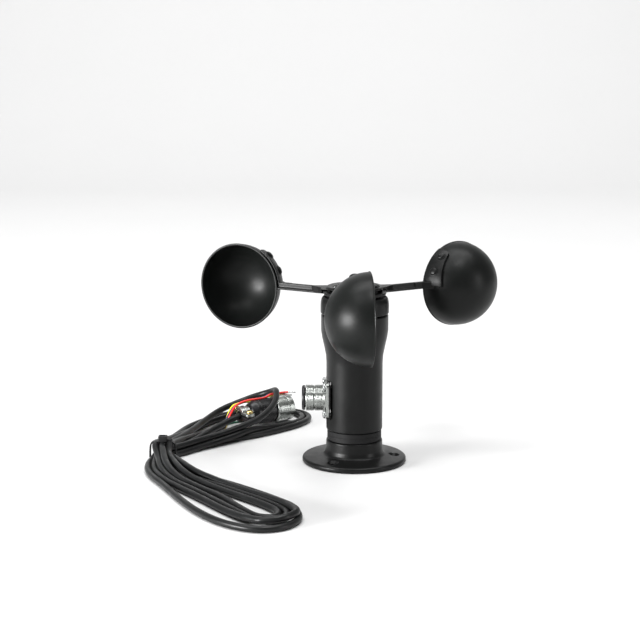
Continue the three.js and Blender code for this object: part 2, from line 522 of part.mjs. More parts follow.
// ---------------------------------------------------------------- plug
{
  const p = new THREE.Group();
  p.position.set(PLUG_X, PLUG_Y, PLUG_Z);
  p.rotation.z = PLUG_TURN * DEG;
  model.add(p);
  const alongX = (g) => { g.rotateY(Math.PI / 2); return g; };

  // shell: tail trough with ears, cone, body, front tube
  const shellBody = alongX(turned([
    [2.6, 6.4], [5.4, 6.4], [6.2, 7.0], [7.6, 9.6], [7.9, 10.4], [7.9, 23.9], [7.3, 24.8], [6.6, 25.0], [6.6, 35.2], [5.7, 35.2], [5.7, 12.5], [2.6, 10.0]], 20, true));
  const trough = [];
  trough.push([-10.6, -0.3], [-10.6, -2.1], [-5.4, -2.1]);
  for (let a = 205; a <= 335; a += 26) trough.push([5.2 * Math.cos(a * DEG), 5.2 * Math.sin(a * DEG)]);
  trough.push([5.4, -2.1], [10.6, -2.1], [10.6, -0.3], [2.55, -0.3]);
  for (let a = 345; a >= 195; a -= 25) trough.push([2.55 * Math.cos(a * DEG), 2.55 * Math.sin(a * DEG)]);
  trough.push([-2.55, -0.3]);
  const turnYZ = (g) => { g.rotateX(Math.PI / 2); g.rotateZ(Math.PI / 2); return g; }; // shape (t, z), depth along +x
  const tail = turnYZ(plate(trough, -1.0, 5.6));
  const bridge = turnYZ(plate([[-4.6, -4.4], [4.6, -4.4], [4.6, -2.7], [-4.6, -2.7]], 5.0, 7.2));
  const ears = [-7.9, 7.9];
  const earHoles = ears.map((y) => rod(1.4, -6, 8, 8, 2.3, y));
  add(p, 'plug_shell', cut(join(shellBody, tail, bridge), ...earHoles), M_BAKELITE);

  const clamp = [[-10.6, 0.3], [-10.6, 2.1], [-5.3, 2.1]];
  for (let a = 155; a >= 25; a -= 26) clamp.push([5.2 * Math.cos(a * DEG), 5.2 * Math.sin(a * DEG)]);
  clamp.push([5.3, 2.1], [10.6, 2.1], [10.6, 0.3], [2.55, 0.3]);
  for (let a = 15; a <= 165; a += 25) clamp.push([2.55 * Math.cos(a * DEG), 2.55 * Math.sin(a * DEG)]);
  clamp.push([-2.55, 0.3]);
  add(p, 'plug_clamp', cut(turnYZ(plate(clamp, -1.0, 5.6)), ...earHoles), M_STEEL);
  ears.forEach((y, i) => {
    const g = turned([[0, -3.4], [1.1, -3.4], [1.1, 2.4], [2.2, 2.4], [2.2, 3.1], [1.7, 3.9], [0, 4.1]], 14);
    const c = cut(g, block(-3, 3, -0.3, 0.3, 3.4, 5));
    c.translate(2.3, y, 0);
    add(p, `plug_clamp_screw_${i + 1}`, c, M_BRASS);
  });

  const insert = alongX(turned([[0, 25.4], [5.35, 25.4], [5.35, 33.4], [0, 33.4]], 20));
  const sockets = [0, 1, 2, 3].map((i) => { const g = alongX(rod(0.9, 28.4, 40, 8)); g.translate(0, PIN_ORBIT * Math.cos((45 + 90 * i) * DEG), PIN_ORBIT * Math.sin((45 + 90 * i) * DEG)); return g; });
  add(p, 'plug_insert', cut(insert, ...sockets), M_BAKELITE);

  const knurl = [];
  const flutes = 12;
  for (let i = 0; i < flutes; i++) {
    const a = (i * 360) / flutes, w = 360 / flutes;
    for (const [r, f] of [[RING_R, 0.0], [RING_R, 0.5], [RING_R - 0.55, 0.62], [RING_R - 0.55, 0.88]]) knurl.push([r * Math.cos((a + w * f) * DEG), r * Math.sin((a + w * f) * DEG)]);
  }
  const bore = [];
  for (let i = 0; i < 20; i++) bore.push([7.0 * Math.cos(i * 18 * DEG), 7.0 * Math.sin(i * 18 * DEG)]);
  const grip = plate(knurl, 26.8, 34.6, [bore]);
  const rear = turned([[7.0, 25.4], [7.9, 25.4], [8.4, 26.0], [8.4, 27.0], [7.0, 27.0]], 20, true);
  const front = turned([[7.0, 34.4], [8.4, 34.4], [8.4, 38.1], [8.0, 38.6], [7.0, 38.6]], 20, true);
  add(p, 'plug_coupling_ring', alongX(join(grip, rear, front)), M_STEEL);

  // the cable between the clamp and the hank
  add(p, 'cable_lead', tube([[5.9, 0, 0], [2, 0, 0], [-2.2, 0, -0.5], [-6.5, -0.6, -3.4], [-10.0, -1.5, -6.0], [-12.6, -2.5, -6.9]], CABLE_D / 2, 8, 8), M_CABLE);

  // four stripped conductors from the other end of the cable, lying over the plug
  const onPlug = (s, t, rr) => [s, t, Math.abs(t) < rr - 0.4 ? Math.sqrt(rr * rr - t * t) : -2];
  const R1 = 7.9 + 0.35 + WIRE_D / 2, R2 = RING_R + 0.35 + WIRE_D / 2;
  const wires = {
    red: [[-9.0, 4.1, -5.2], [-5.2, 3.6, 0.6], [-1.8, 3.3, 5.4], [2.3, 3.0, 6.9], onPlug(8.5, 2.7, R1), onPlug(14, 2.2, R1), onPlug(20.5, 2.0, R1), onPlug(25.2, 2.4, R2), onPlug(30, 2.9, R2), onPlug(35.8, 2.9, R2)],
    blue: [[-9.0, 5.7, -5.2], [-5.2, 5.3, 0.0], [-1.8, 5.0, 4.4], [2.3, 4.7, 6.2], onPlug(8.5, 4.5, R1), onPlug(14, 4.3, R1), onPlug(20.5, 4.3, R1), onPlug(25.2, 4.6, R2), onPlug(30, 4.8, R2), onPlug(35.0, 4.9, R2)],
    yellow: [[-9.0, 4.1, -6.9], [-6.2, 6.6, -4.4], [-3.0, 7.6, 2.2], [-0.6, 6.9, 5.2], [2.6, 6.4, 5.6], [7.5, 7.0, 5.2], onPlug(12.5, 7.0, R1), onPlug(19.5, 6.9, R1), onPlug(24.9, 7.2, R2), onPlug(31.0, 7.0, R2)],
    green: [[-9.0, 5.7, -6.9], [-6.5, 8.4, -7.8], [-2.2, 11.6, -8.0], [3.0, 12.6, -8.0], [10, 11.6, -8.0], [17, 11.4, -8.0], [24, 11.8, -8.0], [29.5, 12.9, -8.0]],
  };
  const colours = { red: M_RED, blue: M_BLUE, yellow: M_YELLOW, green: M_GREEN };
  for (const [c, pts] of Object.entries(wires)) add(p, `wire_${c}`, tube(pts, WIRE_D / 2, 13, 8), colours[c]);
}

export default model;
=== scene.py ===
# Looks of a three-cup wind-speed sensor with its unplugged signal cable.
# Every length below is in millimetres in the part's own frame and is scaled to metres as it is built.
import json
import math

import bmesh
import bpy
import numpy as np
from mathutils import Matrix, Quaternion, Vector


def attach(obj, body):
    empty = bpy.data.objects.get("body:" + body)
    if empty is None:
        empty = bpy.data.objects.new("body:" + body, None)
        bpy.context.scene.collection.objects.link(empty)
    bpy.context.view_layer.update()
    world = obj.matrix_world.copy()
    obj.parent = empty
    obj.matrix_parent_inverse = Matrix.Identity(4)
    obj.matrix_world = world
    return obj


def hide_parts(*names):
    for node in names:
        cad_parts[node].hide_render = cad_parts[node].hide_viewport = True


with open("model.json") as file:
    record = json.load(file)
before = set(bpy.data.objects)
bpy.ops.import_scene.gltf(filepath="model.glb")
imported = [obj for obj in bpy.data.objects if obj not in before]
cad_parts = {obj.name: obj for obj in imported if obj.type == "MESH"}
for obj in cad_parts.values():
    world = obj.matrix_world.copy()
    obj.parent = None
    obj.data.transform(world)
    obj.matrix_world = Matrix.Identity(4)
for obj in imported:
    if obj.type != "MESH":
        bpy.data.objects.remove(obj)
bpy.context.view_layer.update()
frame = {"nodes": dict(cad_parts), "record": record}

MM = 0.001
DEG = math.pi / 180
NODES = frame["nodes"]
SLOT_OF = {s["node"]: s["material_slot"] for s in frame["record"]["subparts"]}

# ---------------------------------------------------------------- camera
cam_data = bpy.data.cameras.new("camera")
cam_data.lens = 88.87
cam_data.sensor_width = 36.0
cam_data.dof.use_dof = False
cam_data.clip_start, cam_data.clip_end = 0.02, 50
camera = bpy.data.objects.new("camera", cam_data)
camera.location = (-0.02083, -0.93146, 0.26289)
camera.rotation_euler = (79.3 * DEG, 0, 0)
bpy.context.scene.collection.objects.link(camera)
bpy.context.scene.camera = camera

# ---------------------------------------------------------------- materials
def surface(name, color, rough, metallic=0.0, spec=0.5, coat=0.0, tone=0.12, tone_scale=45.0,
            rough_amp=0.06, rough_scale=160.0, grain=0.02, grain_scale=1400.0, stretch=None, fleck=0.0, fleck_color=(0.2, 0.2, 0.2)):
    """A procedural surface: uneven tone, uneven gloss, a fine relief (grain, in millimetres) and sparse flecks."""
    m = bpy.data.materials.new(name)
    m.use_nodes = True
    t = m.node_tree
    t.nodes.clear()
    out = t.nodes.new("ShaderNodeOutputMaterial")
    b = t.nodes.new("ShaderNodeBsdfPrincipled")
    t.links.new(b.outputs["BSDF"], out.inputs["Surface"])
    b.inputs["Metallic"].default_value = metallic
    b.inputs["Specular IOR Level"].default_value = spec
    b.inputs["Coat Weight"].default_value = coat
    b.inputs["Coat Roughness"].default_value = 0.2
    co = t.nodes.new("ShaderNodeTexCoord")
    src = co.outputs["Object"]
    if stretch:
        mp = t.nodes.new("ShaderNodeMapping")
        mp.inputs["Scale"].default_value = stretch
        t.links.new(src, mp.inputs["Vector"])
        fine_src = mp.outputs["Vector"]
    else:
        fine_src = src

    def noise(scale, detail, vec):
        n = t.nodes.new("ShaderNodeTexNoise")
        n.inputs["Scale"].default_value = scale
        n.inputs["Detail"].default_value = detail
        n.inputs["Roughness"].default_value = 0.55
        t.links.new(vec, n.inputs["Vector"])
        return n.outputs["Fac"]

    def remap(fac, a, z, lo=0.3, hi=0.7):
        r = t.nodes.new("ShaderNodeMapRange")
        r.inputs["From Min"].default_value = lo
        r.inputs["From Max"].default_value = hi
        r.inputs["To Min"].default_value = a
        r.inputs["To Max"].default_value = z
        t.links.new(fac, r.inputs["Value"])
        return r.outputs["Result"]

    mix = t.nodes.new("ShaderNodeMix")
    mix.data_type = "RGBA"
    lo = [max(0.0, c * (1 - tone)) for c in color]
    hi = [min(1.0, c * (1 + tone)) for c in color]
    mix.inputs["A"].default_value = (*lo, 1)
    mix.inputs["B"].default_value = (*hi, 1)
    t.links.new(remap(noise(tone_scale, 3, src), 0, 1), mix.inputs["Factor"])
    col = mix.outputs["Result"]
    if fleck > 0:
        mix2 = t.nodes.new("ShaderNodeMix")
        mix2.data_type = "RGBA"
        mix2.inputs["B"].default_value = (*fleck_color, 1)
        t.links.new(col, mix2.inputs["A"])
        t.links.new(remap(noise(700.0, 2, src), 0, fleck, 0.66, 0.8), mix2.inputs["Factor"])
        col = mix2.outputs["Result"]
    t.links.new(col, b.inputs["Base Color"])
    t.links.new(remap(noise(rough_scale, 4, fine_src), rough - rough_amp, rough + rough_amp), b.inputs["Roughness"])
    bump = t.nodes.new("ShaderNodeBump")
    bump.inputs["Strength"].default_value = 1.0
    bump.inputs["Distance"].default_value = grain * MM
    t.links.new(noise(grain_scale, 2, fine_src), bump.inputs["Height"])
    t.links.new(bump.outputs["Normal"], b.inputs["Normal"])
    return m

M = {
    "powder_black": surface("powder_black", (0.0054, 0.0056, 0.0055), 0.35, spec=0.17, tone=0.18, grain=0.030, grain_scale=1100, rough_amp=0.05, fleck=0.2, fleck_color=(0.020, 0.021, 0.020)),
    "cup_black": surface("cup_black", (0.0054, 0.0060, 0.0057), 0.38, spec=0.16, tone=0.2, tone_scale=30, grain=0.012, grain_scale=1900, rough_amp=0.05, fleck=0.2, fleck_color=(0.018, 0.020, 0.018)),
    "steel": surface("steel", (0.42, 0.43, 0.43), 0.30, metallic=1.0, tone=0.08, grain=0.008, grain_scale=900, stretch=(1, 1, 6), rough_amp=0.08),
    "chrome": surface("chrome", (0.37, 0.385, 0.37), 0.28, metallic=1.0, tone=0.05, grain=0.003, grain_scale=1300, rough_amp=0.04, tone_scale=120),
    "black_screw": surface("black_screw", (0.055, 0.056, 0.056), 0.30, metallic=1.0, tone=0.15, grain=0.008, grain_scale=1100, rough_amp=0.08),
    "brass": surface("brass", (0.62, 0.47, 0.20), 0.28, metallic=1.0, tone=0.12, grain=0.008, grain_scale=1500, rough_amp=0.08),
    "aluminium": surface("aluminium", (0.62, 0.63, 0.64), 0.36, metallic=1.0, tone=0.06, grain=0.010, grain_scale=500, stretch=(1, 1, 9), rough_amp=0.08),
    "rubber_black": surface("rubber_black", (0.0065, 0.0065, 0.0068), 0.60, spec=0.2, tone=0.2, grain=0.02, grain_scale=2200),
    "tie_black": surface("tie_black", (0.009, 0.009, 0.0095), 0.42, spec=0.3, tone=0.2, grain=0.012, grain_scale=1600),
    "bakelite_black": surface("bakelite_black", (0.010, 0.010, 0.0112), 0.30, spec=0.4, tone=0.2, grain=0.010, grain_scale=1500, rough_amp=0.07),
    "cable_black": surface("cable_black", (0.0075, 0.0079, 0.0081), 0.36, spec=0.26, tone=0.22, tone_scale=35, grain=0.018, grain_scale=1200, rough_amp=0.07, fleck=0.2, fleck_color=(0.026, 0.026, 0.025)),
    "board_green": surface("board_green", (0.018, 0.11, 0.045), 0.36, tone=0.2, tone_scale=300, grain=0.02, grain_scale=700),
    "wire_red": surface("wire_red", (0.78, 0.030, 0.022), 0.36, spec=0.5, tone=0.10, grain=0.008, grain_scale=1800),
    "wire_yellow": surface("wire_yellow", (0.74, 0.56, 0.015), 0.36, spec=0.5, tone=0.10, grain=0.008, grain_scale=1800),
    "wire_green": surface("wire_green", (0.035, 0.16, 0.095), 0.36, spec=0.5, tone=0.12, grain=0.008, grain_scale=1800),
    "wire_blue": surface("wire_blue", (0.012, 0.024, 0.085), 0.36, spec=0.5, tone=0.12, grain=0.008, grain_scale=1800),
    "tinned": surface("tinned", (0.72, 0.73, 0.72), 0.30, metallic=1.0, tone=0.08, grain=0.01, grain_scale=2500),
}

# ---------------------------------------------------------------- mesh helpers
def make(name, shape, body, slot, nodes=(), bevel=0.0, angle=32, segs=2, weighted=True, sharp=38, fill=None):
    """One object from (vertices in mm, faces). nodes are the CAD nodes it stands for."""
    verts, faces = shape
    me = bpy.data.meshes.new(name)
    me.from_pydata([tuple(c * MM for c in v) for v in verts], [], faces)
    bm = bmesh.new()
    bm.from_mesh(me)
    bmesh.ops.remove_doubles(bm, verts=bm.verts, dist=1e-7)
    bmesh.ops.recalc_face_normals(bm, faces=bm.faces)
    bm.to_mesh(me)
    bm.free()
    o = bpy.data.objects.new(name, me)
    bpy.context.scene.collection.objects.link(o)
    finish_piece(o, body, slot, nodes, bevel, angle, segs, weighted, sharp)
    return o

def finish_piece(o, body, slot, nodes=(), bevel=0.0, angle=32, segs=2, weighted=True, sharp=38):
    me = o.data
    me.polygons.foreach_set("use_smooth", [True] * len(me.polygons))
    if bevel:
        bv = o.modifiers.new("bevel", "BEVEL")
        bv.width = bevel * MM
        bv.segments = segs
        bv.limit_method = "ANGLE"
        bv.angle_limit = angle * DEG
        bv.use_clamp_overlap = True
        bake(o)
        o.data.polygons.foreach_set("use_smooth", [True] * len(o.data.polygons))
    o.data.set_sharp_from_angle(angle=sharp * DEG)
    if weighted:
        w = o.modifiers.new("normals", "WEIGHTED_NORMAL")
        w.keep_sharp = True
        w.weight = 60
    o.data.materials.clear()
    o.data.materials.append(M[slot])
    if body:
        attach(o, body)
        if nodes:
            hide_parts(*nodes)

def bake(o):
    dg = bpy.context.evaluated_depsgraph_get()
    me = bpy.data.meshes.new_from_object(o.evaluated_get(dg))
    old = o.data
    o.modifiers.clear()
    o.data = me
    bpy.data.meshes.remove(old)

def raw(name, shape):
    verts, faces = shape
    me = bpy.data.meshes.new(name)
    me.from_pydata([tuple(c * MM for c in v) for v in verts], [], faces)
    bm = bmesh.new()
    bm.from_mesh(me)
    bmesh.ops.remove_doubles(bm, verts=bm.verts, dist=1e-7)
    bmesh.ops.recalc_face_normals(bm, faces=bm.faces)
    bm.to_mesh(me)
    bm.free()
    o = bpy.data.objects.new(name, me)
    bpy.context.scene.collection.objects.link(o)
    return o

def shape_of(o):
    me = o.data
    co = np.zeros(len(me.vertices) * 3)
    me.vertices.foreach_get("co", co)
    return (co.reshape(-1, 3) / MM).tolist(), [tuple(p.vertices) for p in me.polygons]

def drop(o):
    me = o.data
    bpy.data.objects.remove(o)
    bpy.data.meshes.remove(me)

def carve(shape, cutters, op="DIFFERENCE"):
    """shape less the cutters, by exact booleans."""
    o = raw("work", shape)
    cs = [raw("cutter", c) for c in cutters]
    for c in cs:
        m = o.modifiers.new("b", "BOOLEAN")
        m.operation = op
        m.solver = "EXACT"
        m.object = c
    bpy.context.view_layer.update()
    bake(o)
    s = shape_of(o)
    drop(o)
    for c in cs:
        drop(c)
    return s

def merge(*shapes):
    verts, faces = [], []
    for v, f in shapes:
        k = len(verts)
        verts += [tuple(p) for p in v]
        faces += [tuple(i + k for i in q) for q in f]
    return verts, faces

def warp(shape, fn):
    v, f = shape
    return [fn(*p) for p in v], f

def move(shape, dx=0, dy=0, dz=0):
    return warp(shape, lambda x, y, z: (x + dx, y + dy, z + dz))

def spin(shape, degrees):
    c, s = math.cos(degrees * DEG), math.sin(degrees * DEG)
    return warp(shape, lambda x, y, z: (x * c - y * s, x * s + y * c, z))

minus_x = lambda shape: warp(shape, lambda x, y, z: (-z, y, x))
plus_x = lambda shape: warp(shape, lambda x, y, z: (z, y, -x))
yz_out = lambda shape: warp(shape, lambda x, y, z: (z, x, y))

def soften(pts, r=0.3, n=3, closed=False, only=14):
    """Rounds the corners of an outline or a profile."""
    out, N = [], len(pts)
    for i, p in enumerate(pts):
        if not closed and i in (0, N - 1):
            out.append(tuple(p))
            continue
        a, b, c = (np.array(pts[k % N], float) for k in (i - 1, i, i + 1))
        u, v = a - b, c - b
        lu, lv = np.linalg.norm(u), np.linalg.norm(v)
        if lu < 1e-6 or lv < 1e-6:
            continue
        turn = 180 - math.degrees(math.acos(max(-1, min(1, float(u @ v) / lu / lv))))
        if turn < only:
            out.append(tuple(b))
            continue
        d = min(r, 0.45 * lu, 0.45 * lv)
        p0, p2 = b + u / lu * d, b + v / lv * d
        for k in range(n + 1):
            t = k / n
            q = (1 - t) ** 2 * p0 + 2 * t * (1 - t) * b + t * t * p2
            out.append((float(q[0]), float(q[1])))
    return out

def lathe(profile, seg=96, ring=False, start=0.0):
    verts, rows = [], []
    for r, z in profile:
        if r < 1e-9:
            rows.append([len(verts)])
            verts.append((0.0, 0.0, z))
        else:
            rows.append(list(range(len(verts), len(verts) + seg)))
            for i in range(seg):
                a = 2 * math.pi * (i + start) / seg
                verts.append((r * math.cos(a), r * math.sin(a), z))
    faces = []
    pairs = [(k, k + 1) for k in range(len(rows) - 1)] + ([(len(rows) - 1, 0)] if ring else [])
    for a, b in pairs:
        A, B = rows[a], rows[b]
        if len(A) == 1 and len(B) == 1:
            continue
        for i in range(seg):
            j = (i + 1) % seg
            if len(A) == 1:
                faces.append((A[0], B[j], B[i]))
            elif len(B) == 1:
                faces.append((A[i], A[j], B[0]))
            else:
                faces.append((A[i], A[j], B[j], B[i]))
    return verts, faces

def inset(poly, d):
    P = np.array(poly, float)
    N = len(P)
    area = 0.5 * sum(P[i][0] * P[(i + 1) % N][1] - P[(i + 1) % N][0] * P[i][1] for i in range(N))
    sgn = 1 if area > 0 else -1
    out = []
    for i in range(N):
        a, b, c = P[i - 1], P[i], P[(i + 1) % N]
        u, v = b - a, c - b
        u, v = u / max(np.linalg.norm(u), 1e-9), v / max(np.linalg.norm(v), 1e-9)
        n1, n2 = np.array([-u[1], u[0]]) * sgn, np.array([-v[1], v[0]]) * sgn
        k = n1 + n2
        k = k / max(0.35, float(k @ k) / 2)
        out.append(tuple(b + k * d))
    return out

def slab(outline, z0, z1, edge=0.25, n=2, corner=0.0):
    """An extruded outline with rounded rims."""
    if corner:
        outline = soften(outline, corner, 4, closed=True)
    layers = []
    if edge > 0:
        for k in range(n + 1):
            a = math.pi / 2 * k / n
            layers.append((edge * (1 - math.sin(a)), z0 + edge * (1 - math.cos(a))))
        for k in range(n, -1, -1):
            a = math.pi / 2 * k / n
            layers.append((edge * (1 - math.sin(a)), z1 - edge * (1 - math.cos(a))))
    else:
        layers = [(0, z0), (0, z1)]
    verts, N = [], len(outline)
    for d, z in layers:
        ring = inset(outline, d) if d > 0 else outline
        verts += [(float(x), float(y), z) for x, y in ring]
    faces = [tuple(range(N))[::-1], tuple(range(len(verts) - N, len(verts)))]
    for L in range(len(layers) - 1):
        for i in range(N):
            j = (i + 1) % N
            faces.append((L * N + i, L * N + j, (L + 1) * N + j, (L + 1) * N + i))
    return verts, faces

def brick(x0, x1, y0, y1, z0, z1, edge=0.2, corner=None):
    o = [(x0, y0), (x1, y0), (x1, y1), (x0, y1)]
    return slab(soften(o, corner if corner is not None else edge, 3, closed=True) if edge else o, z0, z1, edge)

def catmull(points, per):
    """A smooth line through the points (centripetal), per samples for each span."""
    P = np.array(points, float)
    P = np.vstack([2 * P[0] - P[1], P, 2 * P[-1] - P[-2]])
    out = []
    for i in range(1, len(P) - 2):
        p0, p1, p2, p3 = P[i - 1:i + 3]
        t = [0.0]
        for a, b in ((p0, p1), (p1, p2), (p2, p3)):
            t.append(t[-1] + max(np.linalg.norm(b - a), 1e-6) ** 0.5)
        for u in np.linspace(t[1], t[2], per, endpoint=False):
            a1 = (t[1] - u) / (t[1] - t[0]) * p0 + (u - t[0]) / (t[1] - t[0]) * p1
            a2 = (t[2] - u) / (t[2] - t[1]) * p1 + (u - t[1]) / (t[2] - t[1]) * p2
            a3 = (t[3] - u) / (t[3] - t[2]) * p2 + (u - t[2]) / (t[3] - t[2]) * p3
            b1 = (t[2] - u) / (t[2] - t[0]) * a1 + (u - t[0]) / (t[2] - t[0]) * a2
            b2 = (t[3] - u) / (t[3] - t[1]) * a2 + (u - t[1]) / (t[3] - t[1]) * a3
            out.append((t[2] - u) / (t[2] - t[1]) * b1 + (u - t[1]) / (t[2] - t[1]) * b2)
    out.append(P[-2])
    return np.array(out)

def sweep(path, section, closed=False, twist=0.0, taper=None):
    """A section (list of (a, b)) carried along a path, with flat ends."""
    P = np.array(path, float)
    n, m = len(P), len(section)
    T = np.gradient(P, axis=0)
    if closed:
        T = np.roll(P, -1, 0) - np.roll(P, 1, 0)
    T /= np.linalg.norm(T, axis=1)[:, None]
    up = np.array([0, 0, 1.0])
    if abs(T[0] @ up) > 0.9:
        up = np.array([1.0, 0, 0])
    N = np.cross(T[0], up)
    N /= np.linalg.norm(N)
    verts = []
    for i in range(n):
        if i:
            N = N - (N @ T[i]) * T[i]
            N /= np.linalg.norm(N)
        B = np.cross(T[i], N)
        k = taper(i / max(1, n - 1)) if taper else 1.0
        w = twist * i
        c, s = math.cos(w), math.sin(w)
        for a, b in section:
            aa, bb = (a * c - b * s) * k, (a * s + b * c) * k
            verts.append(tuple(P[i] + aa * N + bb * B))
    faces = []
    for i in range(n if closed else n - 1):
        i2 = (i + 1) % n
        for j in range(m):
            j2 = (j + 1) % m
            faces.append((i * m + j, i * m + j2, i2 * m + j2, i2 * m + j))
    if not closed:
        faces.append(tuple(range(m))[::-1])
        faces.append(tuple((n - 1) * m + j for j in range(m)))
    return verts, faces

def circle(r, n=16):
    return [(r * math.cos(2 * math.pi * i / n), r * math.sin(2 * math.pi * i / n)) for i in range(n)]

def ball(r, x=0, y=0, z=0, seg=24, rings=14):
    prof = [(r * math.sin(math.pi * k / rings) if 0 < k < rings else 0.0, -r * math.cos(math.pi * k / rings)) for k in range(rings + 1)]
    return move(lathe(prof, seg), x, y, z)

def oriented(shape, normal, point):
    """A shape built about +Z from its foot, turned to the normal and put at the point."""
    q = Vector((0, 0, 1)).rotation_difference(Vector(normal))
    R = q.to_matrix()
    p = Vector(point)
    v, f = shape
    return [tuple(R @ Vector(a) + p) for a in v], f

